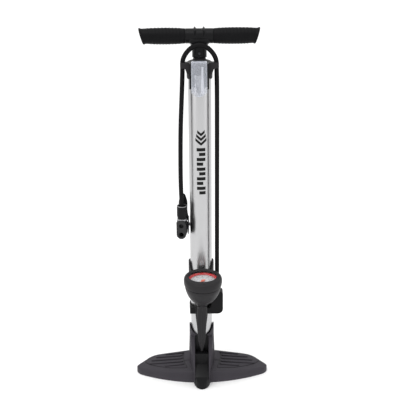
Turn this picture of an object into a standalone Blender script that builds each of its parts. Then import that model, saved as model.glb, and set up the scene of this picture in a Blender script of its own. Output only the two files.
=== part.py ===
"""Floor bike pump: winged foot, alloy barrel, gauge pod, T handle, hose and two-valve head.

Frame: origin on the barrel's axis at floor level, +Z up, the gauge and the foot's toe towards -Y.
All sizes are metres.
"""

import bmesh
import bpy
from math import ceil, cos, pi, radians, sin, sqrt
from mathutils import Matrix, Vector

# ---------------------------------------------------------------- driving sizes
GAP = 0.0003            # the least gap kept between neighbouring pieces
BARREL_R = 0.019
BARREL_BORE_R = 0.0175
BARREL_BOTTOM = 0.016
BARREL_TOP = 0.574
FIT_R = BARREL_R + GAP  # bore of everything that is slipped over the barrel

SOCKET_R = 0.0222
SOCKET_FOOT_R = 0.0232  # the socket widens a little towards the wings
SOCKET_TIP = 0.1020     # height of the socket at its two sides
SOCKET_DIP = 0.0870     # height of its neckline in front and behind
FOOT_FLOOR = 0.012      # thickness of the floor under the barrel
WING_REACH = 0.121
WING_TOP = 0.0255       # height of the wings at the middle
WING_TIP_TOP = 0.012
WING_WALL = 0.004
TOE_Y = -0.0605
TROUGH_HALF = 0.0122    # half-width of the trough in the toe

PLUG_TOP = 0.032
PISTON_BOTTOM = 0.0385
ROD_R = 0.006
ROD_BORE_R = 0.0045

CAP_R = 0.0208
CAP_BOTTOM = 0.550
CAP_TOP = 0.5831
CAP_BORE_R = 0.0080
CLIP_LOW = 0.5685
CLIP_HIGH = 0.578
CLIP_END = 0.0308

CASE_LEFT, CASE_RIGHT = -0.0132, 0.0119
CASE_BACK, CASE_FRONT = -0.0214, -0.0316
CASE_LOW, CASE_HIGH = 0.525, 0.581
CASE_WALL = 0.0015
RAIL_LOW = 0.5373

GRIP_Z = 0.617          # height of the handle's bar
GRIP_START = 0.0223
GRIP_TOP_END = 0.0965   # the slanted end, along the top
GRIP_LOW_END = 0.0890   # and along the bottom
STEM_R = 0.0117
STEM_LOW = 0.5835

HOSE_R = 0.0038
CLIP_R = HOSE_R + 2 * GAP
HEAD_X, HEAD_Y, HEAD_Z = -0.0318, -0.014, 0.300
HEAD_TURN = radians(-8.5)
PIN_DEPTH = 0.0055      # the lever pin, behind the hose's centreline

GAUGE_TURN = radians(3.0)   # the pod sits a little round the barrel
GAUGE_TILT = radians(3.0)   # and its face tips towards the front
GAUGE_Y = -0.0545
GAUGE_Z = 0.221
BOWL_R = 0.0327

OUTLET_X, OUTLET_Y = 0.02765, -0.014
COLLAR_LOW = 0.1332
COLLAR_HIGH = 0.1450
ELBOW_HIGH = 0.1756

for leftover in list(bpy.data.objects):
    bpy.data.objects.remove(leftover, do_unlink=True)


# ---------------------------------------------------------------- materials
def finish(name, colour, roughness, metallic=0.0, alpha=1.0):
    material = bpy.data.materials.new(name)
    material.use_nodes = True
    shader = material.node_tree.nodes["Principled BSDF"]
    shader.inputs["Base Color"].default_value = (*colour, 1.0)
    shader.inputs["Roughness"].default_value = roughness
    shader.inputs["Metallic"].default_value = metallic
    shader.inputs["Alpha"].default_value = alpha
    return material


ALUMINIUM = finish("satin_aluminium", (0.66, 0.66, 0.67), 0.35, 1.0)
STEEL = finish("bright_steel", (0.60, 0.60, 0.62), 0.25, 1.0)
BRASS = finish("brass", (0.70, 0.50, 0.22), 0.35, 1.0)
FOOT_GREY = finish("foot_plastic", (0.055, 0.050, 0.060), 0.55)
DARK_GREY = finish("dark_grey_plastic", (0.035, 0.035, 0.037), 0.45)
BLACK = finish("black_plastic", (0.010, 0.010, 0.011), 0.40)
RUBBER = finish("black_rubber", (0.012, 0.012, 0.012), 0.65)
RED = finish("red_trim", (0.55, 0.03, 0.05), 0.35)
WHITE = finish("dial_white", (0.80, 0.80, 0.78), 0.50)
CLEAR = finish("clear_plastic", (0.85, 0.88, 0.92), 0.10, 0.0, 0.35)
ORANGE = finish("needle_orange", (0.75, 0.12, 0.04), 0.45)


# ---------------------------------------------------------------- modelling helpers
def empty(name, place=(0, 0, 0), turn=(0, 0, 0), parent=None):
    frame = bpy.data.objects.new(name, None)
    frame.location = place
    frame.rotation_euler = turn
    frame.parent = parent
    bpy.context.collection.objects.link(frame)
    return frame


def piece(name, mesh, material, parent=None, smooth=35):
    """Make the named object from a bmesh, with outward normals and smooth round faces."""
    bmesh.ops.remove_doubles(mesh, verts=mesh.verts, dist=1e-6)
    bmesh.ops.recalc_face_normals(mesh, faces=mesh.faces)
    data = bpy.data.meshes.new(name)
    mesh.to_mesh(data)
    mesh.free()
    data.shade_smooth()
    data.set_sharp_from_angle(angle=radians(smooth))
    obj = bpy.data.objects.new(name, data)
    obj.parent = parent
    bpy.context.collection.objects.link(obj)
    data.materials.append(material)
    return obj


def turned(profile, segments=28, closed=True):
    """Turn a profile of (radius, height) points about Z; an open one starts and ends on the axis."""
    mesh = bmesh.new()
    points = [mesh.verts.new((radius, 0, height)) for radius, height in profile]
    pairs = list(zip(points, points[1:]))
    if closed:
        pairs.append((points[-1], points[0]))
    edges = [mesh.edges.new(pair) for pair in pairs]
    bmesh.ops.spin(mesh, geom=points + edges, cent=(0, 0, 0), axis=(0, 0, 1), dvec=(0, 0, 0),
                   angle=2 * pi, steps=segments, use_duplicate=False)
    return mesh


def rod(radius, low, high, segments=24):
    return turned([(0, low), (radius, low), (radius, high), (0, high)], segments, closed=False)


def pipe(outer, inner, low, high, segments=28):
    return turned([(inner, low), (outer, low), (outer, high), (inner, high)], segments)


def prism(outline, start, end, along="z"):
    """Extrude a flat outline along an axis; the outline's two numbers are the other two axes."""
    spots = {"z": lambda a, b, c: (a, b, c),
             "y": lambda a, b, c: (a, c, b),
             "x": lambda a, b, c: (c, a, b)}[along]
    mesh = bmesh.new()
    first = [mesh.verts.new(spots(a, b, start)) for a, b in outline]
    last = [mesh.verts.new(spots(a, b, end)) for a, b in outline]
    mesh.faces.new(first)
    mesh.faces.new(last)
    for i in range(len(outline)):
        j = (i + 1) % len(outline)
        mesh.faces.new((first[i], first[j], last[j], last[i]))
    return mesh


def block(x, y, z, chamfer=0.0):
    """A box between the two given limits on each axis, with its upright edges cut back."""
    c = chamfer
    outline = [(x[0] + c, y[0]), (x[1] - c, y[0]), (x[1], y[0] + c), (x[1], y[1] - c),
               (x[1] - c, y[1]), (x[0] + c, y[1]), (x[0], y[1] - c), (x[0], y[0] + c)]
    if c == 0.0:
        outline = [(x[0], y[0]), (x[1], y[0]), (x[1], y[1]), (x[0], y[1])]
    return prism(outline, z[0], z[1])


def loft(rings):
    """Join rings of equally many points into one closed skin, with flat ends."""
    mesh = bmesh.new()
    rows = [[mesh.verts.new(point) for point in ring] for ring in rings]
    mesh.faces.new(rows[0])
    mesh.faces.new(rows[-1])
    for low, high in zip(rows, rows[1:]):
        for i in range(len(low)):
            j = (i + 1) % len(low)
            mesh.faces.new((low[i], low[j], high[j], high[i]))
    return mesh


def circle(centre, radius, tilt=0.0, count=32):
    """A ring of points about Z, tipped about X."""
    lean = Matrix.Rotation(tilt, 3, "X")
    spots = [Vector((radius * cos(2 * pi * i / count), radius * sin(2 * pi * i / count), 0))
             for i in range(count)]
    return [Vector(centre) + lean @ spot for spot in spots]


def oblong(half_width, half_height, count=10):
    """A stadium outline: straight sides, and a half circle of half_width at the top and bottom."""
    straight = half_height - half_width
    top = [(half_width * cos(pi * i / count), straight + half_width * sin(pi * i / count))
           for i in range(count + 1)]
    return top + [(-a, -b) for a, b in top]


def shifted(outline, across, up):
    return [(a + across, b + up) for a, b in outline]


def aim(mesh, axis, place=(0, 0, 0)):
    """Turn a mesh made about Z so that its axis lies along the given direction, then move it."""
    turn = Vector((0, 0, 1)).rotation_difference(Vector(axis)).to_matrix().to_4x4()
    bmesh.ops.transform(mesh, matrix=Matrix.Translation(place) @ turn, verts=mesh.verts)
    return mesh


def combine(target, mesh, operation="DIFFERENCE", parent=None):
    """Join a helper shape to the target, or cut it away, and hide the helper."""
    helper = piece(f"{target.name}_shape_{len(target.modifiers)}", mesh, target.data.materials[0], parent)
    helper.hide_render = True
    helper.display_type = "WIRE"
    modifier = target.modifiers.new("combine", "BOOLEAN")
    modifier.operation = operation
    modifier.solver = "EXACT"
    modifier.object = helper
    return target


# ---------------------------------------------------------------- foot
def wing_front(x):
    """The foot's front edge is a shallow parabola that sweeps back towards the tips."""
    return -0.038 + 2.15 * x * x


def wing_outline(inset):
    """Right half of the foot's plan, front to back; the whole is drawn in by the inset."""
    reach = WING_REACH - inset
    front = [(x, wing_front(x) + inset) for x in (0.0, 0.025, 0.048, 0.069, 0.087, 0.102)]
    tip = [(reach - 0.0085, -0.0105 + inset * 0.8), (reach - 0.0035, -0.006 + inset * 0.4), (reach, 0.002),
           (reach - 0.0035, 0.0072 - inset * 0.4), (reach - 0.0085, 0.0125 - inset * 0.8)]
    back = [(0.1045, 0.0215), (0.094, 0.0318), (0.080, 0.0352), (0.050, 0.0372), (0.0, 0.0400)]
    return front + tip + [(max(x - inset * 0.3, 0.0), y - inset) for x, y in back]


def wing_height(x, drop=0.0):
    return WING_TOP - (WING_TOP - WING_TIP_TOP) * x / WING_REACH - drop


def half_wing(levels):
    """One wing from stacked outlines; a level is (inset, drop below the top, or None for z = base)."""
    mesh = bmesh.new()
    rows = []
    for inset, drop, base in levels:
        row = []
        for x, y in wing_outline(inset):
            height = base if drop is None else wing_height(x, drop)
            row.append(mesh.verts.new((x, y, height)))
        rows.append(row)
    mesh.faces.new(rows[0])
    mesh.faces.new(rows[-1])
    for low, high in zip(rows, rows[1:]):
        for i in range(len(low) - 1):
            mesh.faces.new((low[i], low[i + 1], high[i + 1], high[i]))
    return mesh


def mirrored(obj):
    modifier = obj.modifiers.new("other_wing", "MIRROR")
    modifier.merge_threshold = 0.0001
    return obj


def toe_body():
    """The prow that runs from the socket to the toe: its plan carried up to its sloping crest."""
    half_widths = [(0.012, 0.0205), (-0.022, 0.0200), (-0.032, 0.0170), (-0.042, 0.0145),
                   (-0.050, 0.0128), (-0.056, 0.0095), (-0.0595, 0.0050)]
    right = [(half, y) for y, half in half_widths]
    plan = right + [(0.0, TOE_Y)] + [(-half, y) for half, y in reversed(right)]
    crest = [(0.012, 0.0), (TOE_Y - 0.001, 0.0), (TOE_Y - 0.001, 0.0075), (-0.0585, 0.0125), (-0.052, 0.0225),
             (-0.040, 0.0405), (-0.030, 0.0600), (-0.0215, 0.0850), (0.012, 0.0850)]
    return prism(plan, 0.0, 0.09), prism(crest, -0.03, 0.03, along="x")


def make_foot():
    foot = mirrored(piece("base_foot", half_wing([(0, None, 0.0), (0, 0.0035, 0), (0.0025, 0, 0)]), FOOT_GREY))
    hollow = piece("wing_hollow", half_wing([(WING_WALL, None, -0.002), (WING_WALL, WING_WALL, 0)]), FOOT_GREY)
    mirrored(hollow)
    hollow.hide_render = True
    hollow.display_type = "WIRE"
    cut = foot.modifiers.new("hollow", "BOOLEAN")
    cut.object = hollow

    plan, crest = toe_body()
    toe = piece("toe_shape", plan, FOOT_GREY)
    combine(toe, crest, "INTERSECT")
    trough = [(-0.0190, 0.090), (-0.0190, 0.056), (-0.032, 0.056), (-0.032, 0.034), (-0.054, 0.0205),
              (-0.070, 0.0205), (-0.070, 0.090)]
    combine(toe, prism(trough, -TROUGH_HALF, TROUGH_HALF, along="x"))
    toe.hide_render = True
    toe.display_type = "WIRE"
    add = foot.modifiers.new("toe", "BOOLEAN")
    add.operation = "UNION"
    add.object = toe

    socket = turned([(0, 0), (SOCKET_FOOT_R, 0), (SOCKET_FOOT_R, 0.050), (SOCKET_R, 0.080), (SOCKET_R, SOCKET_TIP),
                     (0, SOCKET_TIP)], 36, closed=False)
    combine(foot, socket, "UNION")
    neckline = [(0.0205 * cos(2 * pi * i / 32), SOCKET_TIP + (SOCKET_TIP - SOCKET_DIP) * sin(2 * pi * i / 32))
                for i in range(32)]
    combine(foot, prism(neckline, -0.05, 0.05, along="y"))
    combine(foot, rod(FIT_R, FOOT_FLOOR, 0.12, 36))
    for side in (-1, 1):
        screw_hole = turned([(0, -0.001), (0.0046, -0.001), (0.0046, 0.004), (0.0023, 0.004),
                             (0.0023, 0.02), (0, 0.02)], 16, closed=False)
        combine(foot, aim(screw_hole, (0, 0, 1), (side * 0.0125, 0, 0)))
    for side, name in ((-1, "base_screw_left"), (1, "base_screw_right")):
        screw = turned([(0, 0.0008), (0.0040, 0.0008), (0.0040, 0.0037), (0.0017, 0.0037),
                        (0.0017, 0.024), (0, 0.025)], 16, closed=False)
        piece(name, aim(screw, (0, 0, 1), (side * 0.0125, 0, 0)), STEEL)


# ---------------------------------------------------------------- barrel, plug and check valve
def make_barrel():
    piece("barrel_tube", pipe(BARREL_R, BARREL_BORE_R, BARREL_BOTTOM, BARREL_TOP, 36), ALUMINIUM)
    plug_r = BARREL_BORE_R - GAP
    plug = piece("base_plug", turned([(0.0063, FOOT_FLOOR + GAP), (plug_r, FOOT_FLOOR + GAP), (plug_r, 0.0243),
                                      (0.0155, 0.0243), (0.0155, 0.0277), (plug_r, 0.0277), (plug_r, PLUG_TOP),
                                      (0.0025, PLUG_TOP), (0.0025, 0.0290), (0.0063, 0.0290)]), BLACK)
    for side in (-1, 1):
        combine(plug, aim(rod(0.0020, 0.0, 0.0262, 12), (0, 0, 1), (side * 0.0125, 0, 0)))
    piece("plug_seal", pipe(plug_r, 0.0158, 0.0246, 0.0274), RUBBER)
    piece("check_valve_disc", rod(0.0055, 0.0262, 0.0287, 24), RUBBER)
    turns, steps = 4, 8
    low, high = FOOT_FLOOR + 0.0012, 0.0250
    coil = [(0.0042 * cos(2 * pi * i / steps), 0.0042 * sin(2 * pi * i / steps), low + (high - low) * i / (turns * steps))
            for i in range(turns * steps + 1)]
    cord("check_spring", coil, 0.0005, STEEL, resolution=1)


def cord(name, points, radius, material, resolution=2):
    """A round tube along the given points, with filled ends."""
    curve = bpy.data.curves.new(name, "CURVE")
    curve.dimensions = "3D"
    curve.bevel_depth = radius
    curve.bevel_resolution = resolution
    curve.use_fill_caps = True
    spline = curve.splines.new("POLY")
    spline.points.add(len(points) - 1)
    for spot, point in zip(spline.points, points):
        spot.co = (*point, 1.0)
    curve.materials.append(material)
    tube = bpy.data.objects.new(name, curve)
    bpy.context.collection.objects.link(tube)
    return tube


# ---------------------------------------------------------------- piston and rod
def make_piston():
    head_r = BARREL_BORE_R - 0.0004
    low = PISTON_BOTTOM
    piece("piston_head", turned([(0.0041, low), (head_r, low), (head_r, low + 0.0035), (0.0150, low + 0.0035),
                                 (0.0150, low + 0.0085), (head_r, low + 0.0085), (head_r, low + 0.0135),
                                 (0.0041, low + 0.0135)]), BLACK)
    piece("piston_seal", turned([(0.0153, low + 0.0040), (0.0166, low + 0.0040), (0.0172, low + 0.0050),
                                 (0.0172, low + 0.0070), (0.0166, low + 0.0080), (0.0153, low + 0.0080)]), RUBBER)
    shoulder = low + 0.0138
    piece("piston_rod", turned([(0, 0.0335), (0.0037, 0.0335), (0.0037, shoulder), (ROD_R, shoulder),
                                (ROD_R, 0.6120), (ROD_BORE_R, 0.6120), (ROD_BORE_R, 0.0600), (0, 0.0600)],
                               closed=False), STEEL)
    hexagon = [(0.0066 * cos(pi * i / 3), 0.0066 * sin(pi * i / 3)) for i in range(6)]
    nut = piece("piston_nut", prism(hexagon, 0.0338, low - GAP), STEEL)
    combine(nut, rod(0.0037 + GAP, 0.03, 0.045, 24))
    piece("stop_bumper", pipe(0.0115, ROD_R + GAP, shoulder + GAP, shoulder + 0.0085, 32), RUBBER)


# ---------------------------------------------------------------- handle
def grip_radius(along):
    """The grip swells gently towards its middle."""
    middle, half_length = 0.056, 0.040
    return 0.01325 - 0.0015 * ((along - middle) / half_length) ** 2


def make_grip(name, side):
    """A rubber sleeve with a flared end cut on a slant, closed over the end of the core's arm."""
    slant = (GRIP_TOP_END - GRIP_LOW_END) / 2 / 0.0129
    middle = (GRIP_TOP_END + GRIP_LOW_END) / 2

    def ring(along, radius, lean):
        spots = []
        for i in range(32):
            across, up = radius * cos(2 * pi * i / 32), radius * sin(2 * pi * i / 32)
            spots.append(Vector((side * (along + lean * up), across, GRIP_Z + up)))
        return spots

    stations = [GRIP_START + (0.0800 - GRIP_START) * i / 7 for i in range(8)]
    rings = [ring(along, grip_radius(along), slant * max(0.0, (along - 0.050) / 0.0427)) for along in stations]
    rings += [ring(middle - 0.0042, 0.0120, slant), ring(middle - 0.0022, 0.0129, slant),
              ring(middle, 0.0129, slant)]
    grip = piece(name, loft(rings), RUBBER)
    socket = aim(rod(0.0090 + GAP, 0.0, 0.062, 32), (side, 0, 0), (side * 0.020, 0, GRIP_Z))
    return combine(grip, socket)


def make_handle():
    arms = [(0, -0.0810), (0.0090, -0.0810), (0.0090, -0.0220), (0.0118, -0.0220), (0.0118, -0.0092),
            (0.0154, -0.0071), (0.0108, -0.0055), (0.0108, 0.0055), (0.0154, 0.0071), (0.0118, 0.0092),
            (0.0118, 0.0220), (0.0090, 0.0220), (0.0090, 0.0810), (0, 0.0810)]
    core = piece("handle_core", aim(turned(arms, 32, closed=False), (1, 0, 0), (0, 0, GRIP_Z)), BLACK)
    flare = [(0.0180, 0.6066), (0.0150, 0.6045), (0.0130, 0.6010), (0.0120, 0.5965)]
    side = [(STEM_R, STEM_LOW)] + [(half, height) for half, height in reversed(flare)] + [(0.0180, 0.6120)]
    outline = side + [(-x, z) for x, z in reversed(side)]
    stem = piece("stem_shape", prism(outline, -0.0117, 0.0117, along="y"), BLACK)
    waist = turned([(0, 0.580), (STEM_R, 0.580), (STEM_R, 0.5940), (0.0123, 0.5990), (0.0140, 0.6035),
                    (0.0183, 0.6066), (0.0183, 0.6130), (0, 0.6130)], 32, closed=False)
    combine(stem, waist, "INTERSECT")
    stem.hide_render = True
    stem.display_type = "WIRE"
    add = core.modifiers.new("stem", "BOOLEAN")
    add.operation = "UNION"
    add.object = stem
    combine(core, rod(ROD_R + GAP, 0.57, 0.6123, 24))
    combine(core, aim(rod(0.0020, -0.03, 0.03, 16), (0, 1, 0), (0, 0, 0.5905)))
    make_grip("grip_left", -1)
    make_grip("grip_right", 1)
    rod_object = bpy.data.objects["piston_rod"]
    combine(rod_object, aim(rod(0.0020, -0.03, 0.03, 16), (0, 1, 0), (0, 0, 0.5905)))
    piece("handle_pin", aim(rod(0.0017, -0.0112, 0.0112, 16), (0, 1, 0), (0, 0, 0.5905)), STEEL)


# ---------------------------------------------------------------- top cap and accessory case
def make_cap():
    cap = piece("top_cap", turned([(FIT_R, CAP_BOTTOM), (CAP_R, CAP_BOTTOM), (0.0211, 0.560), (0.0211, 0.5735),
                                   (0.0206, 0.5757), (0.0172, 0.5778), (0.0130, 0.5790), (0.0106, 0.5802),
                                   (0.0097, CAP_TOP), (CAP_BORE_R, CAP_TOP),
                                   (CAP_BORE_R, BARREL_TOP + GAP), (FIT_R, BARREL_TOP + GAP)], 36), DARK_GREY)
    front_arch = [(0.0185 * cos(pi * i / 12), 0.545 + 0.0125 * sin(pi * i / 12)) for i in range(13)]
    combine(cap, prism(front_arch, -0.05, -0.005, along="y"))
    for side in (-1, 1):
        arm = prism([(side * x, z) for x, z in ((0.0140, 0.5595), (0.0200, 0.5600), (0.0232, CLIP_LOW),
                                                (CLIP_END, CLIP_LOW), (CLIP_END, CLIP_HIGH), (0.0140, CLIP_HIGH))],
                    -0.0205, -0.0080, along="y")
        combine(cap, arm, "UNION")
        combine(cap, aim(rod(CLIP_R, 0.55, 0.59, 24), (0, 0, 1), (side * 0.027, -0.014, 0)))
        mouth = sorted((side * 0.027, side * 0.034))
        combine(cap, block(mouth, (-0.0172, -0.0108), (0.55, 0.59)))
    rails = ((CASE_LEFT - 0.0032, CASE_LEFT - GAP), (CASE_RIGHT + GAP, CASE_RIGHT + 0.0032))
    for left, right in rails:
        combine(cap, block((left, right), (-0.0300, -0.0158), (RAIL_LOW, 0.5780), 0.0004), "UNION")
    for side, x in ((-1, CASE_LEFT), (1, CASE_RIGHT)):
        groove = sorted((x - side * 0.001, x + side * (0.0009 + GAP)))
        combine(cap, block(groove, (-0.0276, -0.0234), (0.53, 0.5775)))
    combine(cap, rod(FIT_R, 0.53, BARREL_TOP + GAP, 36))
    for side, name in ((-1, "left"), (1, "right")):
        direction = Vector((side * sin(radians(35)), cos(radians(35)), 0))
        combine(cap, aim(rod(0.0016 + GAP, 0.0180, 0.0250, 12), direction, (0, 0, 0.563)))
        screw = turned([(0, FIT_R), (0.0016, FIT_R), (0.0016, 0.0215), (0.0030, 0.0215), (0.0028, 0.0228),
                        (0, 0.0232)], 16, closed=False)
        piece(f"cap_screw_{name}", aim(screw, direction, (0, 0, 0.563)), STEEL)
    piece("rod_bush", pipe(CAP_BORE_R - GAP, ROD_R + GAP, 0.5605, 0.5825), BLACK)
    piece("bush_washer", pipe(0.0165, CAP_BORE_R, 0.5710, 0.5735), RUBBER)


def rounded_case(inset, low, high):
    """Front view of the case: square shoulders at the top and a round bottom."""
    left, right = CASE_LEFT + inset, CASE_RIGHT - inset
    middle, half = (left + right) / 2, (right - left) / 2
    depth = 0.0085 - inset
    bottom = [(middle - half * cos(pi * i / 12), low + depth - depth * sin(pi * i / 12)) for i in range(13)]
    return bottom + [(right, high), (left, high)]


def make_case():
    case = piece("accessory_case", prism(rounded_case(0, CASE_LOW, CASE_HIGH), CASE_FRONT, CASE_BACK, along="y"),
                 CLEAR)
    for side, x in ((-1, CASE_LEFT), (1, CASE_RIGHT)):
        rib = sorted((x - side * 0.001, x + side * 0.0009))
        combine(case, block(rib, (-0.0273, -0.0237), (0.5380, 0.5770)), "UNION")
    inside = prism(rounded_case(CASE_WALL, CASE_LOW + CASE_WALL, CASE_HIGH + 0.01), CASE_FRONT + CASE_WALL,
                   CASE_BACK - CASE_WALL, along="y")
    combine(case, inside)
    middle_y = (CASE_FRONT + CASE_BACK) / 2
    nozzle = turned([(0.0010, 0.5297), (0.0033, 0.5297), (0.0033, 0.5345), (0.0030, 0.5350), (0.0030, 0.5400),
                     (0.0026, 0.5480), (0.0017, 0.5660), (0.0015, 0.5720), (0.0010, 0.5720)], 20)
    piece("taper_nozzle", aim(nozzle, (0, 0, 1), (0.0045, middle_y, 0)), CLEAR)
    needle = turned([(0, 0.5300), (0.0026, 0.5300), (0.0026, 0.5350), (0.0034, 0.5352), (0.0034, 0.5385),
                     (0.0022, 0.5395), (0.0009, 0.5400), (0.0009, 0.5590), (0, 0.5600)], 20, closed=False)
    piece("ball_needle", aim(needle, (0, 0, 1), (-0.0070, middle_y, 0)), STEEL)


# ---------------------------------------------------------------- gauge
def make_gauge():
    yaw = empty("gauge_yaw", turn=(0, 0, GAUGE_TURN))
    face = empty("gauge_face", (0, GAUGE_Y, GAUGE_Z), (GAUGE_TILT, 0, 0), yaw)

    bowl_rows = [(-0.0380, 0.1590, 0.0083), (-0.0410, 0.1660, 0.0128), (-0.0455, 0.1740, 0.0195),
                 (-0.0488, 0.1830, 0.0248), (-0.0515, 0.1920, 0.0282), (-0.0533, 0.1995, 0.0302),
                 (-0.0538, 0.2055, 0.0312)]
    housing = piece("gauge_housing", loft([circle((0, y, z), radius, GAUGE_TILT * i / 6)
                                           for i, (y, z, radius) in enumerate(bowl_rows)]), DARK_GREY, yaw)
    sleeve = piece("sleeve_shape", rod(0.0222, 0.1795, 0.2270, 36), DARK_GREY)
    dip = [(0.0203 * cos(2 * pi * i / 32), 0.2275 + 0.0296 * sin(2 * pi * i / 32)) for i in range(32)]
    combine(sleeve, prism(dip, -0.05, 0.05, along="y"))
    sleeve.hide_render = True
    sleeve.display_type = "WIRE"
    add = housing.modifiers.new("sleeve", "BOOLEAN")
    add.operation = "UNION"
    add.object = sleeve
    combine(housing, block((-0.012, 0.012), (-0.034, -0.0200), (0.1805, 0.2030)), "UNION", yaw)
    combine(housing, rod(0.0275, -0.0270, 0.0300, 32), "DIFFERENCE", face)
    combine(housing, rod(FIT_R, 0.17, 0.25, 34))

    bezel = piece("gauge_bezel", turned([(0.0292, -0.0148), (0.0317, -0.0148), (BOWL_R, -0.0100),
                                         (BOWL_R, -0.0042), (0.0316, -0.0012), (0.0292, 0.0), (0.0140, -0.0022),
                                         (0.0140, -0.0042), (0.0281, -0.0044), (0.0281, -0.0130),
                                         (0.0292, -0.0135)], 36), DARK_GREY, face)
    opening = [(0.0240 * cos(2 * pi * i / 40), 0.0054 + 0.0197 * sin(2 * pi * i / 40)) for i in range(40)]
    combine(bezel, prism(opening, -0.0060, 0.0020), "DIFFERENCE", face)
    piece("gauge_lens", rod(0.0277, -0.0062, -0.0047, 32), CLEAR, face)
    piece("gauge_trim_ring", turned([(0.0220, -0.0085), (0.0277, -0.0085), (0.0277, -0.0065),
                                     (0.0226, -0.0065)], 32), RED, face)
    dial = piece("gauge_dial", rod(0.0272, -0.0101, -0.0088, 32), WHITE, face)
    combine(dial, rod(0.0016, -0.02, 0.0, 16), "DIFFERENCE", face)
    needle_outline = [(-0.0012, -0.0060), (0.0012, -0.0060), (0.0011, 0.0), (0.0004, 0.0180), (-0.0004, 0.0180),
                      (-0.0011, 0.0)]
    turn = Matrix.Rotation(radians(135), 3, "Z")
    swung = [tuple((turn @ Vector((a, b, 0)))[:2]) for a, b in needle_outline]
    needle = piece("gauge_needle", prism(swung, -0.0080, -0.0073), ORANGE, face)
    combine(needle, rod(0.0028, -0.0082, -0.0066, 24), "UNION", face)
    combine(needle, rod(0.0013, -0.02, -0.0070, 16), "DIFFERENCE", face)
    piece("needle_arbor", rod(0.0010, -0.0200, -0.0074, 16), STEEL, face)
    piece("gauge_socket", block((-0.0060, 0.0060), (-0.0050, 0.0050), (-0.0265, -0.0205), 0.001), BRASS, face)
    tube = [(0.0160 * cos(radians(a)), 0.0160 * sin(radians(a)), -0.0175) for a in range(-60, 211, 15)]
    bourdon = cord("bourdon_tube", tube, 0.0016, BRASS)
    bourdon.parent = face


def rounded_section(centre, half_width, half_depth, count=6):
    """A rounded rectangle about Z for the stalk."""
    corner = 0.35 * min(half_width, half_depth)
    spots = []
    for quarter, (sx, sy) in enumerate(((1, 1), (-1, 1), (-1, -1), (1, -1))):
        for i in range(count):
            angle = pi / 2 * (quarter + i / (count - 1))
            spots.append(Vector((centre[0] + sx * (half_width - corner) + corner * cos(angle),
                                 centre[1] + sy * (half_depth - corner) + corner * sin(angle), centre[2])))
    return spots


def make_stalk():
    """The stem under the pod: a leaning bar with a flange half way and a pointed tail."""
    rows = [((0, -0.0262, 0.0600), 0.0012, 0.0022), ((0, -0.0274, 0.0720), 0.0040, 0.0040),
            ((0, -0.0290, 0.0850), 0.0066, 0.0056), ((0, -0.0304, 0.1030), 0.0076, 0.0060),
            ((0, -0.0314, 0.1190), 0.0084, 0.0064), ((0.0002, -0.0322, 0.1330), 0.0086, 0.0067),
            ((0.0008, -0.0336, 0.1460), 0.0083, 0.0074), ((0.0018, -0.0374, 0.1585), 0.0080, 0.0076)]
    stalk = piece("gauge_stalk", loft([rounded_section(*row) for row in rows]), DARK_GREY)
    flange = prism([(-0.0077, 0.1030), (0.0077, 0.1030), (0.0108, 0.1325), (0.0106, 0.1480), (-0.0106, 0.1480),
                    (-0.0108, 0.1325)], -0.0272, -0.0245, along="y")
    combine(stalk, flange, "UNION")


# ---------------------------------------------------------------- outlet collar
def make_outlet():
    collar = piece("outlet_collar", rod(0.0214, COLLAR_LOW + 0.0004, COLLAR_HIGH - 0.0004, 36), BLACK)
    band = [(-0.0206, 0.0020), (-0.0206, -0.0225), (-0.0191, -0.0240), (0.0180, -0.0240), (0.0180, 0.0020)]
    combine(collar, prism(band, COLLAR_LOW, COLLAR_HIGH), "UNION")
    corner = [(0.0291 + 0.0090 * cos(radians(a)), COLLAR_LOW + 0.0090 + 0.0090 * sin(radians(a)))
              for a in range(-90, 1, 15)]
    elbow = [(0.0150, COLLAR_LOW)] + corner + [(0.0381, ELBOW_HIGH - 0.0040), (0.0370, ELBOW_HIGH - 0.0011),
                                               (0.0341, ELBOW_HIGH), (0.0172, ELBOW_HIGH), (0.0172, 0.1500),
                                               (0.0150, 0.1470)]
    combine(collar, prism(elbow, -0.0239, -0.0050, along="y"), "UNION")
    combine(collar, aim(rod(0.0052, 0.1652, 0.19, 20), (0, 0, 1), (OUTLET_X, OUTLET_Y, 0)))
    combine(collar, rod(FIT_R, 0.10, 0.19, 34))
    clamp = block((-0.0050, 0.0050), (0.0197, 0.0290), (COLLAR_LOW + 0.0008, COLLAR_HIGH - 0.0008), 0.001)
    combine(collar, clamp, "UNION")
    combine(collar, block((-0.0008, 0.0008), (0.0150, 0.0400), (0.12, 0.16)))
    combine(collar, aim(rod(0.0021, -0.02, 0.02, 16), (1, 0, 0), (0, 0.0252, 0.1391)))
    screw = turned([(0, -0.0050), (0.0018, -0.0050), (0.0018, 0.0053), (0.0034, 0.0053), (0.0034, 0.0080),
                    (0, 0.0080)], 16, closed=False)
    piece("outlet_screw", aim(screw, (1, 0, 0), (0, 0.0252, 0.1391)), STEEL)
    piece("hose_ferrule", aim(pipe(0.0049, HOSE_R + GAP, 0.1655, 0.1782, 20), (0, 0, 1), (OUTLET_X, OUTLET_Y, 0)),
          STEEL)


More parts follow.
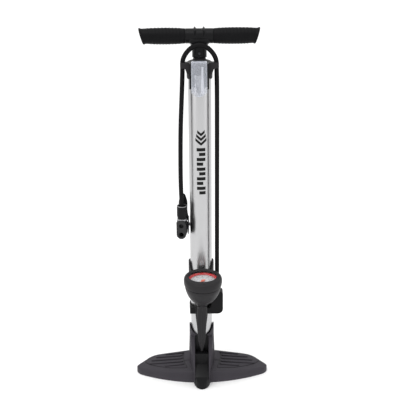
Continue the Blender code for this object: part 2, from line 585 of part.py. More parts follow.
# ---------------------------------------------------------------- hose
HOSE_ROUTE = [
    (0.02765, -0.0140, 0.1665), (0.02770, -0.0140, 0.2000), (0.02770, -0.0140, 0.2500),
    (0.02775, -0.0140, 0.3200), (0.02780, -0.0140, 0.4000), (0.02785, -0.0140, 0.4800),
    (0.02770, -0.0140, 0.5400), (0.02710, -0.0140, 0.5680), (0.02680, -0.0140, 0.5790),
    (0.02440, -0.0147, 0.5866), (0.02000, -0.0158, 0.5936), (0.01370, -0.0169, 0.6000),
    (0.00720, -0.0175, 0.6037), (0.00000, -0.0177, 0.6050), (-0.00720, -0.0175, 0.6037),
    (-0.01370, -0.0169, 0.6000), (-0.02000, -0.0158, 0.5936), (-0.02440, -0.0147, 0.5866),
    (-0.02680, -0.0140, 0.5790), (-0.02710, -0.0140, 0.5680), (-0.02800, -0.0140, 0.5450),
    (-0.02940, -0.0140, 0.5170), (-0.03110, -0.0140, 0.4830), (-0.03220, -0.0140, 0.4500),
    (-0.03300, -0.0140, 0.3980), (-0.03280, -0.0140, 0.3630), (-0.03180, -0.0140, 0.3330),
]


def smooth_route(route, spacing):
    """Points along a centripetal-like spline through the route, about one every spacing."""
    spots = [Vector(point) for point in route]
    spots = [2 * spots[0] - spots[1]] + spots + [2 * spots[-1] - spots[-2]]
    points = []
    for before, start, end, after in zip(spots, spots[1:], spots[2:], spots[3:]):
        span = (end - start).length
        lead = (end - before) * span / ((end - start).length + (start - before).length)
        trail = (after - start) * span / ((after - end).length + span)
        count = max(1, ceil(span / spacing))
        for i in range(count):
            t = i / count
            h1, h2 = 2 * t ** 3 - 3 * t ** 2 + 1, t ** 3 - 2 * t ** 2 + t
            h3, h4 = -2 * t ** 3 + 3 * t ** 2, t ** 3 - t ** 2
            points.append(h1 * start + h2 * lead + h3 * end + h4 * trail)
    points.append(spots[-2])
    return points


# ---------------------------------------------------------------- pump head
def make_head():
    """Built in its own frame: +Z up the hose, -Y out of the valve holes, X across."""
    frame = empty("head_frame", (HEAD_X, HEAD_Y, HEAD_Z), (0, 0, HEAD_TURN))
    pivot = empty("lever_pivot", (0, PIN_DEPTH, 0), parent=frame)
    middle = -0.0055
    body = piece("head_body", prism(shifted(oblong(0.0081, 0.0163), 0, middle), -0.0091, 0.0080, along="y"),
                 BLACK, frame)
    neck = turned([(0, -0.002), (0.0079, -0.002), (0.0079, 0.0080), (0.0076, 0.0110), (0.0080, 0.0135),
                   (0.0080, 0.0150), (0, 0.0150)], 28, closed=False)
    combine(body, neck, "UNION", frame)
    combine(body, prism(shifted(oblong(0.0060, 0.0146), 0, middle), -0.02, 0.0024, along="y"), "DIFFERENCE", frame)
    combine(body, aim(rod(0.0023, -0.02, 0.02, 16), (1, 0, 0), (0, PIN_DEPTH, 0)), "DIFFERENCE", frame)
    upper, lower = 0.0014, -0.0144
    face = piece("head_face", prism(shifted(oblong(0.0082, 0.0165), 0, middle), -0.0116, -0.0094, along="y"),
                 BLACK, frame)
    combine(face, aim(rod(0.0035, -0.02, 0.0, 24), (0, 1, 0), (0, 0, upper)), "DIFFERENCE", frame)
    combine(face, aim(rod(0.0040, -0.02, 0.0, 24), (0, 1, 0), (0, 0, lower)), "DIFFERENCE", frame)
    for name, height, bore in (("presta_gasket", upper, 0.0035), ("schrader_gasket", lower, 0.0040)):
        piece(name, aim(pipe(0.0053, bore, -0.0091, -0.0048, 20), (0, 1, 0), (0, 0, height)), RUBBER, frame)
    pusher = piece("gasket_pusher", prism(shifted(oblong(0.0057, 0.0141), 0, middle), -0.0033, 0.0020, along="y"),
                   BLACK, frame)
    for height in (upper, lower):
        combine(pusher, aim(rod(0.0026, -0.02, 0.02, 16), (0, 1, 0), (0, 0, height)), "DIFFERENCE", frame)
    piece("head_nut", turned([(0, 0.0153), (0.0083, 0.0153), (0.0086, 0.0165), (0.0088, 0.0330),
                              (0.0085, 0.0352), (0.0070, 0.0356), (0.0055, 0.0340), (0.0045, 0.0310),
                              (0.0045, 0.0290), (0, 0.0290)], 28, closed=False), BLACK, frame)

    right = [(0.0092, 0.0045), (0.0092, 0.0100), (0.0084, 0.0140), (0.0072, 0.0220), (0.0077, 0.0385),
             (0.0040, 0.0510), (0.0015, 0.0530)]
    paddle = right + [(-x, z) for x, z in reversed(right)]
    lever = piece("head_lever", prism(paddle, 0.0052, 0.0080, along="y"), BLACK, pivot)
    cheek = [(0.0048 * cos(radians(a)), 0.0048 * sin(radians(a))) for a in range(100, 241, 20)]
    cheek += [(0.0010, -0.0190), (0.0045, -0.0200), (0.0080, -0.0080), (0.0080, 0.0120), (0.0050, 0.0120),
              (0.0020, 0.0085)]
    for side in (-1, 1):
        wall = sorted((side * 0.0084, side * 0.0098))
        combine(lever, prism(cheek, wall[0], wall[1], along="x"), "UNION", pivot)
    combine(lever, aim(rod(0.0023, -0.02, 0.02, 16), (1, 0, 0)), "DIFFERENCE", pivot)
    pin = turned([(0, -0.0108), (0.0028, -0.0108), (0.0028, -0.0101), (0.0020, -0.0101), (0.0020, 0.0102),
                  (0.0028, 0.0102), (0.0028, 0.0127), (0, 0.0127)], 20, closed=False)
    piece("lever_pin", aim(pin, (1, 0, 0)), STEEL, pivot)


make_foot()
make_barrel()
make_piston()
make_handle()
make_cap()
make_case()
make_gauge()
make_stalk()
make_outlet()
cord("hose", smooth_route(HOSE_ROUTE, 0.012), HOSE_R, RUBBER)
make_head()
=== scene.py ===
"""Looks of the floor pump: moulded foot and fittings, satin barrel, gauge, air hose, head and handle."""

from math import ceil, cos, pi, radians, sin

import bpy
import numpy as np
from mathutils import Matrix, Vector


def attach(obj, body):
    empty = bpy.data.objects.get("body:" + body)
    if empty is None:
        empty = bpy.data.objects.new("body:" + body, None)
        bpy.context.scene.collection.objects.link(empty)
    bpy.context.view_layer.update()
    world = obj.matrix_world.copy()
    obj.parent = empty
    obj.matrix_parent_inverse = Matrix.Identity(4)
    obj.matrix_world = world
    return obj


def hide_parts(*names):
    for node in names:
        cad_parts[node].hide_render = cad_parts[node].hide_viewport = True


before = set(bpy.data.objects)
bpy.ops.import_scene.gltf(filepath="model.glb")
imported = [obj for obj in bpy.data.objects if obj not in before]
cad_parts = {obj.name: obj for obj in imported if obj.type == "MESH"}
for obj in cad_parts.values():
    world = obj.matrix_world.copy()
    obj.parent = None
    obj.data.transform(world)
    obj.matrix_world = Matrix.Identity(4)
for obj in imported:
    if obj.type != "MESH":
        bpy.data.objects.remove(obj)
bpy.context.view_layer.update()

# ------------------------------------------------------------------ camera
LENS, SENSOR = 67.5, 36.0
EYE_HEIGHT_DEG, EYE_DISTANCE = 20.05, 1.284
LOOK_AT = (-0.00104, 0.0, 0.3399)
HORIZON_ROLL_DEG = -0.49


def set_camera():
    """The camera stands on a ray rising from the target at the eye's elevation, rolled a little."""
    data = bpy.data.cameras.new("camera")
    data.lens, data.sensor_width, data.clip_end = LENS, SENSOR, 60.0
    camera = bpy.data.objects.new("camera", data)
    lift = radians(EYE_HEIGHT_DEG)
    place = Vector(LOOK_AT) + EYE_DISTANCE * Vector((0, -cos(lift), sin(lift)))
    camera.matrix_world = (Matrix.Translation(place) @ Matrix.Rotation(pi / 2 - lift, 4, "X")
                           @ Matrix.Rotation(radians(HORIZON_ROLL_DEG), 4, "Z"))
    bpy.context.scene.collection.objects.link(camera)
    bpy.context.scene.camera = camera


set_camera()


# ------------------------------------------------------------------ finishes
class Value:
    """One socket of a finish, used in sums like a number: each operator adds the Math node for it."""

    def __init__(self, finish, socket):
        self.finish, self.socket = finish, socket

    def _math(self, operation, *terms):
        return self.finish.node("ShaderNodeMath", {"operation": operation}, dict(enumerate(terms)))

    def __add__(self, other):
        return self._math("ADD", self, other)

    def __sub__(self, other):
        return self._math("SUBTRACT", self, other)

    def __rsub__(self, other):
        return self._math("SUBTRACT", other, self)

    def __mul__(self, other):
        return self._math("MULTIPLY", self, other)

    def __truediv__(self, other):
        return self._math("DIVIDE", self, other)

    def __pow__(self, other):
        return self._math("POWER", self, other)

    def __gt__(self, other):
        return self._math("GREATER_THAN", self, other)

    def __lt__(self, other):
        return self._math("LESS_THAN", self, other)

    def __abs__(self):
        return self._math("ABSOLUTE", self)

    __radd__, __rmul__ = __add__, __mul__

    def held(self, low=0.0, high=1.0):
        return self._math("MINIMUM", self._math("MAXIMUM", self, low), high)


class Finish:
    """A Principled material; constants are set on its own sockets, and patterns are joined to them."""

    def __init__(self, name, **constants):
        self.material = bpy.data.materials.new(name)
        self.material.use_nodes = True
        self.tree = self.material.node_tree
        self.shader = self.tree.nodes["Principled BSDF"]
        self.set(**constants)
        self.place = self.node("ShaderNodeTexCoord", output="Object")

    def set(self, **values):
        for name, value in values.items():
            self.join(self.shader.inputs[name.replace("_", " ")], value)

    def join(self, socket, value):
        if isinstance(value, Value):
            self.tree.links.new(value.socket, socket)
        else:
            socket.default_value = value

    def node(self, kind, settings=None, sockets=None, output=0):
        made = self.tree.nodes.new(kind)
        for name, value in (settings or {}).items():
            if name == "stops":
                ramp = made.color_ramp.elements
                while len(ramp) < len(value):
                    ramp.new(0.5)
                for stop, (where, shade) in zip(ramp, value):
                    stop.position, stop.color = where, shade
            else:
                setattr(made, name, value)
        for name, value in (sockets or {}).items():
            self.join(made.inputs[name], value)
        return Value(self, made.outputs[output])

    def scaled(self, scale, turn=(0, 0, 0), shift=(0, 0, 0)):
        return self.node("ShaderNodeMapping", None,
                         {"Vector": self.place, "Scale": scale, "Rotation": turn, "Location": shift})

    def noise(self, size, detail=2.0, stretch=(1, 1, 1), rough=0.5):
        """Noise whose blobs are about the given size in metres, drawn out along an axis by the stretch."""
        spots = self.scaled(tuple(1.0 / (size * s) for s in stretch))
        return self.node("ShaderNodeTexNoise", None,
                         {"Vector": spots, "Scale": 1.0, "Detail": detail, "Roughness": rough})

    def parts(self):
        """The three object coordinates."""
        split = self.tree.nodes.new("ShaderNodeSeparateXYZ")
        self.join(split.inputs[0], self.place)
        return [Value(self, out) for out in split.outputs]

    def mix(self, factor, first, second):
        return self.node("ShaderNodeMix", {"data_type": "RGBA"}, {0: factor, 6: first, 7: second}, 2)

    def bump(self, height, strength, depth):
        self.set(Normal=self.node("ShaderNodeBump", None,
                                  {"Height": height, "Strength": strength, "Distance": depth}))


def shade(colour, times=1.0):
    return (*(min(1.0, c * times) for c in colour), 1.0)


def moulded_plastic(name, colour, roughness, grain=0.0007, relief=0.25, mottle=0.10, wear=0.0, specular=0.12):
    """Moulded plastic: spark-eroded grain, slow drifts of colour and sheen, paler rubbed edges."""
    paint = Finish(name, Specular_IOR_Level=specular)
    drift = paint.noise(0.018, 4.0, rough=0.6)
    fine = paint.noise(grain, 2.0)
    base = paint.mix(drift, shade(colour, 1 - mottle), shade(colour, 1 + mottle))
    if wear:
        edge = paint.node("ShaderNodeNewGeometry", output="Pointiness")
        rubbed = ((edge - 0.52) * 12.0).held() * wear * paint.noise(0.004, 3.0)
        base = paint.mix(rubbed, base, shade(colour, 2.6))
    paint.set(Base_Color=base, Roughness=(drift - 0.5) * 0.16 + (fine - 0.5) * 0.10 + roughness)
    paint.bump(fine, relief, 0.0002)
    return paint.material


def brushed_metal(name, colour, roughness, stretch, streak=0.0006, contrast=0.06, relief=0.08):
    """Metal with fine drawn lines along one axis, and faint cloudy tarnish in its sheen."""
    paint = Finish(name, Metallic=1.0)
    lines = paint.noise(streak, 3.0, stretch, 0.65)
    cloud = paint.noise(0.03, 3.0)
    paint.set(Base_Color=paint.mix(lines, shade(colour, 1 - contrast), shade(colour, 1 + contrast)),
              Roughness=(lines - 0.5) * 0.20 + (cloud - 0.5) * 0.10 + roughness)
    paint.bump(lines, relief, 0.0001)
    return paint.material


def rubber_finish(name, colour, roughness, grain=0.0005, relief=0.2, bloom=0.25):
    """Rubber: a soft bloom that lightens it in patches, and a fine skin."""
    paint = Finish(name, Specular_IOR_Level=0.3)
    cloud = paint.noise(0.012, 4.0, rough=0.65)
    fine = paint.noise(grain, 2.0)
    dust = ((cloud - 0.45) * 2.2).held() * bloom
    paint.set(Base_Color=paint.mix(dust, shade(colour), shade(colour, 2.4)),
              Roughness=dust * 0.3 + (fine - 0.5) * 0.10 + roughness)
    paint.bump(fine, relief, 0.00015)
    return paint.material


def hose_finish():
    """Extruded hose rubber: faint lengthwise die lines, broken by dull patches where it has been handled."""
    paint = Finish("hose_rubber", Specular_IOR_Level=0.07)
    lines = paint.noise(0.0009, 2.0, (1, 1, 40))
    patch = paint.noise(0.02, 4.0, rough=0.6)
    paint.set(Base_Color=paint.mix(patch, shade((0.004, 0.004, 0.0045)), shade((0.009, 0.0085, 0.009))),
              Roughness=(patch - 0.5) * 0.16 + (lines - 0.5) * 0.10 + 0.42)
    paint.bump(lines, 0.25, 0.00012)
    return paint.material


def grip_finish():
    """Grip rubber: a diamond knurl of crossing fine ribs over a soft cloudy skin."""
    paint = Finish("grip_rubber", Specular_IOR_Level=0.06)
    along, across, up = paint.parts()
    ribs = paint.node("ShaderNodeMath", {"operation": "SINE"}, {0: (along + up) * 2600.0})
    cross = paint.node("ShaderNodeMath", {"operation": "SINE"}, {0: (along - up + across * 0.3) * 2600.0})
    cloud = paint.noise(0.014, 4.0, rough=0.6)
    fine = paint.noise(0.0005, 2.0)
    paint.set(Base_Color=paint.mix(cloud, shade((0.004, 0.004, 0.0045)), shade((0.008, 0.0078, 0.0085))),
              Roughness=(cloud - 0.5) * 0.2 + (fine - 0.5) * 0.1 + 0.44)
    paint.bump(ribs * cross * 0.5 + fine * 0.6, 0.22, 0.00018)
    return paint.material


def gloss_paint(name, colour, roughness=0.28, coat=0.3, specular=0.5):
    """Gloss plastic or paint: faint orange peel, slight unevenness of colour and a few dull smears."""
    paint = Finish(name, Coat_Weight=coat, Coat_Roughness=0.1, Specular_IOR_Level=specular)
    peel = paint.noise(0.0015, 2.0)
    smear = paint.noise(0.008, 4.0, rough=0.7)
    paint.set(Base_Color=paint.mix(smear, shade(colour, 0.88), shade(colour, 1.08)),
              Roughness=(smear - 0.5) * 0.2 + roughness)
    paint.bump(peel, 0.12, 0.0001)
    return paint.material


def clear_finish(name, tint, haze, painted_edge_sheen, middle=None, half=None, roughness=0.12):
    """Clear plastic: nearly unseen in the middle and milky towards its outline, a painted edge sheen, with
    faint flow marks.
    """
    paint = Finish(name, Specular_IOR_Level=0.7, IOR=1.49)
    flow = paint.noise(0.006, 3.0, (1, 1, 3))
    cover = (flow - 0.5) * 0.10 + haze
    # Painted sheen: the cover rises near the outline's sides and ends, by object position, standing in for
    # the brightness of walls seen edge-on.
    if half:
        across, _, up = paint.parts()
        side = (abs(across - middle[0]) / half[0]) ** 14.0
        ends = (abs(up - middle[1]) / half[1]) ** 26.0
        cover = (cover + (side + ends).held() * (painted_edge_sheen - haze)).held(0.0, 0.97)
    paint.set(Base_Color=paint.mix(flow, shade(tint, 0.94), shade(tint, 1.0)), Alpha=cover,
              Roughness=(flow - 0.5) * 0.1 + roughness)
    paint.bump(flow, 0.1, 0.0002)
    return paint.material


FOOT = moulded_plastic("foot_plastic", (0.040, 0.0365, 0.0435), 0.50, wear=0.35, relief=0.35)
DARK = moulded_plastic("dark_grey_plastic", (0.0210, 0.0200, 0.0215), 0.44, wear=0.25)
BLACK = moulded_plastic("black_plastic", (0.0060, 0.0060, 0.0066), 0.36, wear=0.12, mottle=0.2)
ALUMINIUM = brushed_metal("satin_aluminium", (0.50, 0.50, 0.505), 0.33, (1, 1, 60), contrast=0.03)
STEEL = brushed_metal("zinc_plated_steel", (0.62, 0.62, 0.65), 0.26, (1, 1, 8))
BLACK_STEEL = brushed_metal("black_oxide_steel", (0.05, 0.05, 0.055), 0.35, (1, 1, 6), contrast=0.2)
CHROME = brushed_metal("hard_chromed_rod", (0.70, 0.70, 0.72), 0.14, (12, 12, 1), contrast=0.03, relief=0.04)
BRASS = brushed_metal("machined_brass", (0.70, 0.50, 0.22), 0.30, (8, 8, 1))
RUBBER = rubber_finish("seal_rubber", (0.014, 0.014, 0.014), 0.55)
WORN_STEEL = brushed_metal("worn_steel", (0.30, 0.30, 0.31), 0.42, (1, 1, 8), contrast=0.12)
PLATE = moulded_plastic("head_plate_plastic", (0.028, 0.028, 0.029), 0.42, wear=0.2)
HOSE = hose_finish()
GRIP = grip_finish()
RED = gloss_paint("red_trim", (0.56, 0.014, 0.018))
ORANGE = gloss_paint("pointer_paint", (0.72, 0.10, 0.03))
# The white dial enamel is given a mid grey: painted shade of the bowl and rim over it.
DIAL_IN_PAINTED_SHADE = gloss_paint("dial_enamel_painted_shade", (0.54, 0.54, 0.56), 0.36)
PRINT_BLACK = gloss_paint("printed_black", (0.006, 0.006, 0.006), 0.42, 0.0, 0.15)
PRINT_RED = gloss_paint("printed_red", (0.50, 0.03, 0.03), 0.42)


# ------------------------------------------------------------------ shape helpers
def enclosed(points, faces):
    """The signed volume inside a shell: a sixth of the sum of a . (b x c) over its triangles."""
    corners = [(face[0], b, c) for face in faces for b, c in zip(face[1:], face[2:])]
    a, b, c = (points[np.array(corners)[:, i]] for i in range(3))
    return np.einsum("ij,ij->i", a, np.cross(b, c)).sum() / 6


def outward(points, faces):
    """A shell's faces, all turned over together if the volume they enclose comes out negative."""
    if enclosed(points, faces) < 0:
        faces = [face[::-1] for face in faces]
    return points, faces


def skin(rings, looped=False):
    """A closed skin over rings[k, i]: point i of a ring joins point i of the next. The two end rings are
    filled, or, if looped, the last ring joins the first."""
    rings = np.asarray(rings, float)
    count, around = rings.shape[:2]
    ids = np.arange(count * around).reshape(count, around)
    low, high = (ids, np.roll(ids, -1, 0)) if looped else (ids[:-1], ids[1:])
    sides = np.stack([low, np.roll(low, -1, 1), np.roll(high, -1, 1), high], -1).reshape(-1, 4)
    faces = sides.tolist()
    if not looped:
        faces += [ids[0][::-1].tolist(), ids[-1].tolist()]
    return outward(rings.reshape(-1, 3), faces)


def soften(points, radius, steps=4, closed=True):
    """Each corner becomes a parabola that meets its sides at the radius, or at 0.45 of a side."""
    spots = np.asarray(points, float)
    made = [] if closed else [spots[:1]]
    run = range(len(spots)) if closed else range(1, len(spots) - 1)
    t = np.linspace(0, 1, steps + 1)[:, None]
    for i in run:
        before, here, after = spots[i - 1], spots[i], spots[(i + 1) % len(spots)]
        back, on = before - here, after - here
        start = here + back * min(radius / np.linalg.norm(back), 0.45)
        end = here + on * min(radius / np.linalg.norm(on), 0.45)
        made.append((1 - t) ** 2 * start + 2 * t * (1 - t) * here + t ** 2 * end)
    if not closed:
        made.append(spots[-1:])
    return np.vstack(made)


def flow(points, steps, closed=False):
    """A smooth curve through the points: between two of them it is the cubic whose slope at each point is
    that of the line between its neighbours."""
    spots = np.asarray(points, float)
    if closed:
        spots = np.vstack([spots[-1:], spots, spots[:2]])
    else:
        spots = np.vstack([2 * spots[:1] - spots[1:2], spots, 2 * spots[-1:] - spots[-2:-1]])
    t = np.linspace(0, 1, steps, endpoint=False)[None, :, None]
    p0, p1, p2, p3 = (spots[i:len(spots) - 3 + i, None, :] for i in range(4))
    curve = 0.5 * (2 * p1 + (p2 - p0) * t + (2 * p0 - 5 * p1 + 4 * p2 - p3) * t ** 2
                   + (3 * p1 - p0 - 3 * p2 + p3) * t ** 3)
    curve = curve.reshape(-1, spots.shape[1])
    return curve if closed else np.vstack([curve, spots[-2:-1]])


def inset(outline, distance):
    """The outline moved inwards by the distance, along the mean of its two sides' normals at each point."""
    spots = np.asarray(outline, float)
    sides = np.roll(spots, -1, 0) - spots
    sides /= np.linalg.norm(sides, axis=1)[:, None]
    area = (spots[:, 0] * np.roll(spots[:, 1], -1) - np.roll(spots[:, 0], -1) * spots[:, 1]).sum()
    normals = np.stack([-sides[:, 1], sides[:, 0]], 1) * np.sign(area)
    before = np.roll(normals, 1, 0)
    lean = 1 + (normals * before).sum(1)
    return spots + distance * (normals + before) / np.maximum(lean, 0.4)[:, None]


AXES = {"z": (0, 1, 2), "y": (0, 2, 1), "x": (2, 0, 1)}


def slab(outline, low, high, rim=0.0006, along="z", steps=4):
    """A plate of the outline between two heights, with quarter-round rims."""
    turn = np.linspace(0, pi / 2, steps + 1)
    levels = [(rim * (1 - sin(a)), low + rim * (1 - cos(a))) for a in turn]
    levels += [(d, low + high - z) for d, z in reversed(levels)]
    rings = []
    for distance, level in levels:
        flat = inset(outline, distance)
        ring = np.empty((len(flat), 3))
        for column, axis in enumerate((0, 1)):
            ring[:, AXES[along].index(axis)] = flat[:, column]
        ring[:, AXES[along].index(2)] = level
        rings.append(ring)
    return skin(rings)


def box_outline(left, right, low, high, corner=0.0006):
    return soften([(left, low), (right, low), (right, high), (left, high)], corner, 4)


def turned(profile, around=64, soft=0.0, looped=False):
    """The profile of (radius, height) carried round the z axis; soft rounds its corners."""
    line = np.asarray(profile, float)
    if soft:
        line = soften(line, soft, 4, closed=looped)
    angle = np.linspace(0, 2 * pi, around, endpoint=False)
    radius, height = line[:, :1], line[:, 1:] + 0 * angle
    return skin(np.stack([radius * np.cos(angle), radius * np.sin(angle), height], -1), looped)


def necked_tube(inner, outer, low, top, rim=0.0005, around=96):
    """A tube wall whose top edge rises and falls with the angle: top is a function of x and y."""
    angle = np.linspace(0, 2 * pi, around, endpoint=False)
    x, y = np.cos(angle), np.sin(angle)
    high = top(outer * x, outer * y)
    wall = soften([(inner, 0), (outer, 0), (outer, 1), (inner, 1)], rim, 3)
    share = np.clip(wall[:, 1:], 0, 1)
    near_top = np.clip((wall[:, 1:] - 0.5) * 2, 0, 1)
    radius = np.clip(wall[:, :1], inner, outer)
    lip = (radius - (inner + outer) / 2) / ((outer - inner) / 2)
    height = low + (high - low)[None, :] * share - rim * 0.7 * lip ** 4 * near_top
    return skin(np.stack([radius * x, radius * y, height], -1), looped=True)


def moved(shell, turn=None, place=(0, 0, 0)):
    points, faces = shell
    if turn is not None:
        points = points @ np.asarray(turn, float).T
    return points + np.asarray(place, float), faces


def spun(angle, axis):
    return np.array(Matrix.Rotation(angle, 3, axis))


def aimed(shell, direction, place=(0, 0, 0)):
    """The shell turned so that its z axis lies along the direction, then moved."""
    return moved(shell, Vector((0, 0, 1)).rotation_difference(Vector(direction)).to_matrix(), place)


def mirrored(shell):
    points, faces = shell
    return points * (-1, 1, 1), [face[::-1] for face in faces]


def both_sides(shells):
    return shells + [mirrored(shell) for shell in shells]


def gathered(shells):
    """Several closed shells as one mesh's points and faces."""
    points, faces, start = [], [], 0
    for spots, sides in shells:
        points.append(spots)
        faces += [[i + start for i in side] for side in sides]
        start += len(spots)
    return np.vstack(points), faces


def bare(name, shell, sharp=40):
    points, faces = shell
    mesh = bpy.data.meshes.new(name)
    mesh.from_pydata(np.asarray(points, float).tolist(), [], faces)
    mesh.update()
    mesh.shade_smooth()
    mesh.set_sharp_from_angle(angle=radians(sharp))
    made = bpy.data.objects.new(name, mesh)
    bpy.context.scene.collection.objects.link(made)
    return made


def finished_mesh(source, sharp):
    """The object's mesh with its modifiers applied."""
    graph = bpy.context.evaluated_depsgraph_get()
    mesh = bpy.data.meshes.new_from_object(source.evaluated_get(graph))
    mesh.shade_smooth()
    mesh.set_sharp_from_angle(angle=radians(sharp))
    return mesh


LEAST_KEPT = 0.8  # a relaxed skin shrinks a little; a lost part takes far more


def shell_of(mesh):
    """The mesh's points and faces."""
    points = np.empty(len(mesh.vertices) * 3)
    mesh.vertices.foreach_get("co", points)
    return points.reshape(-1, 3), [list(face.vertices) for face in mesh.polygons]


def formed(name, grow, carve=(), voxel=0.0, passes=6, sharp=40):
    """The growing shells joined and the carving ones taken away. With a voxel size the result is then
    re-skinned at that size and relaxed, which rounds its edges and fillets its corners as a mould does."""
    base = bare(name + "_base", grow[0])
    helpers = []
    for operation, shells in (("UNION", grow[1:]), ("DIFFERENCE", carve)):
        for shell in shells:
            helper = bare(name + "_helper", shell)
            helpers.append(helper)
            change = base.modifiers.new("form", "BOOLEAN")
            change.operation, change.solver, change.object = operation, "EXACT", helper
    if voxel:
        grain = base.modifiers.new("skin", "REMESH")
        grain.mode, grain.voxel_size, grain.use_smooth_shade = "VOXEL", voxel, True
        relax = base.modifiers.new("relax", "SMOOTH")
        relax.factor, relax.iterations = 0.5, passes
    mesh = finished_mesh(base, sharp)
    least = max(enclosed(*shell) for shell in grow) - sum(enclosed(*shell) for shell in carve)
    if enclosed(*shell_of(mesh)) < LEAST_KEPT * least:
        raise ValueError(name + " lost a part when its shells were joined")
    for old in [base, *helpers]:
        bpy.data.objects.remove(old)
    made = bpy.data.objects.new(name, mesh)
    bpy.context.scene.collection.objects.link(made)
    return made


def fitted(made, finish, body, slot, *nodes):
    """Gives a piece its finish, its body and the CAD nodes that it stands for; its slot argument is not used.
    """
    made.data.materials.clear()
    made.data.materials.append(finish)
    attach(made, body)
    if nodes:
        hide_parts(*nodes)
    return made


def shells_piece(name, shells, finish, body, slot, *nodes, sharp=40):
    return fitted(bare(name, gathered(shells), sharp), finish, body, slot, *nodes)


# ------------------------------------------------------------------ the air hose
HOSE_R = 0.0038
HOSE_DEPTH = -0.0140
RISE = [(0.02765, 0.1665), (0.02770, 0.2000), (0.02770, 0.2500), (0.02775, 0.3200), (0.02780, 0.4000),
        (0.02785, 0.4800), (0.02770, 0.5400)]
ARCH = [(0.02710, HOSE_DEPTH, 0.5680), (0.02680, HOSE_DEPTH, 0.5790), (0.02440, -0.0147, 0.5866),
        (0.02000, -0.0158, 0.5936), (0.01370, -0.0169, 0.6000), (0.00720, -0.0175, 0.6037)]
FALL = [(-0.02800, 0.5450), (-0.02940, 0.5170), (-0.03110, 0.4830), (-0.03220, 0.4500), (-0.03300, 0.3980),
        (-0.03280, 0.3630), (-0.03180, 0.3330)]
HOSE_ROUTE = ([(x, HOSE_DEPTH, z) for x, z in RISE] + ARCH + [(0.0, -0.0177, 0.6050)]
              + [(-x, y, z) for x, y, z in reversed(ARCH)] + [(x, HOSE_DEPTH, z) for x, z in FALL])


def smooth_route(route, spacing):
    """The route's cubic: at each point its slope weighs the two neighbouring spans by their lengths."""
    spots = [Vector(point) for point in route]
    spots = [2 * spots[0] - spots[1]] + spots + [2 * spots[-1] - spots[-2]]
    points = []
    for before, start, end, after in zip(spots, spots[1:], spots[2:], spots[3:]):
        span = (end - start).length
        lead = (end - before) * span / (span + (start - before).length)
        trail = (after - start) * span / ((after - end).length + span)
        count = max(1, ceil(span / spacing))
        for i in range(count):
            t = i / count
            points.append((2 * t ** 3 - 3 * t ** 2 + 1) * start + (t ** 3 - 2 * t ** 2 + t) * lead
                          + (-2 * t ** 3 + 3 * t ** 2) * end + (t ** 3 - t ** 2) * trail)
    points.append(spots[-2])
    return points


def make_hose():
    curve = bpy.data.curves.new("air_hose", "CURVE")
    curve.dimensions, curve.bevel_depth, curve.bevel_resolution = "3D", HOSE_R, 7
    curve.use_fill_caps = True
    route = smooth_route(HOSE_ROUTE, 0.006)
    line = curve.splines.new("POLY")
    line.points.add(len(route) - 1)
    line.points.foreach_set("co", np.hstack([np.array(route), np.ones((len(route), 1))]).ravel())
    line.use_smooth = True
    made = bpy.data.objects.new("air_hose", curve)
    bpy.context.scene.collection.objects.link(made)
    return fitted(made, HOSE, "pump", "rubber", "hose")


hose = make_hose()


# ------------------------------------------------------------------ foot
WING_REACH, WING_TOP, WING_TIP_TOP = 0.121, 0.0255, 0.012
SOCKET_R, SOCKET_TIP, SOCKET_DIP = 0.0222, 0.1020, 0.0870
SOCKET_FOOT_R, TROUGH_HALF, LINING_HALF = 0.0232, 0.0122, 0.0121
BARREL_R, FIT_R = 0.019, 0.0193


def upright(flat, depth):
    return np.column_stack([flat[:, 0], np.full(len(flat), depth), flat[:, 1]])


def wing_height(x):
    return WING_TOP - (WING_TOP - WING_TIP_TOP) * np.abs(x) / WING_REACH


def foot_outline():
    """The foot's plan: a shallow parabola in front, round tips and a flatter curve behind."""
    reach = WING_REACH - 0.0002
    front = [(x, -0.038 + 2.15 * x * x) for x in (0.0, 0.025, 0.048, 0.069, 0.087, 0.102)]
    tip = [(reach - 0.0085, -0.0105), (reach - 0.0030, -0.0052), (reach, 0.002), (reach - 0.0030, 0.0075),
           (reach - 0.0085, 0.0133)]
    back = [(0.1045, 0.0215), (0.094, 0.0310), (0.080, 0.0350), (0.050, 0.0370), (0.0, 0.0397)]
    half = front + tip + back
    return flow(half + [(-x, y) for x, y in reversed(half[1:-1])], 7, closed=True)


def wing_rings(start, edge_drop, rim, lower=0.0, share=0.965, steps=12):
    """Rings from the floor up the wall, round the rim and over the top to the foot's long middle line; the
    height of the top falls evenly from the middle to the tips. Inside the barrel the top sinks in a shallow
    dish, which leaves the valve disc its travel."""
    plan = foot_outline()
    rings = []

    def ring(flat, height):
        dish = np.clip((0.018 - np.hypot(flat[:, 0], flat[:, 1])) / 0.004, 0, 1)
        rings.append(np.column_stack([flat, height - 0.003 * dish]))

    wall = inset(plan, start)
    ring(wall, np.zeros(len(wall)))
    ring(wall, wing_height(wall[:, 0]) * 0.5 - lower)
    for a in np.linspace(0, pi / 2, 6):
        flat = inset(plan, start + rim * (1 - cos(a)))
        ring(flat, wing_height(plan[:, 0]) - lower - edge_drop * (1 - sin(a)))
    edge = inset(plan, start + rim)
    spine = np.column_stack([np.clip(edge[:, 0], -0.098, 0.098), np.full(len(edge), 0.002)])
    for t in np.linspace(0, share, steps)[1:]:
        flat = edge + (spine - edge) * t
        ring(flat, wing_height(flat[:, 0]) - lower)
    return rings


def on_wing(shell, lift=0.0):
    """A flat shell laid on the wings' sloping top."""
    points, faces = shell
    points = points.copy()
    points[:, 2] += wing_height(points[:, 0]) + lift
    return points, faces


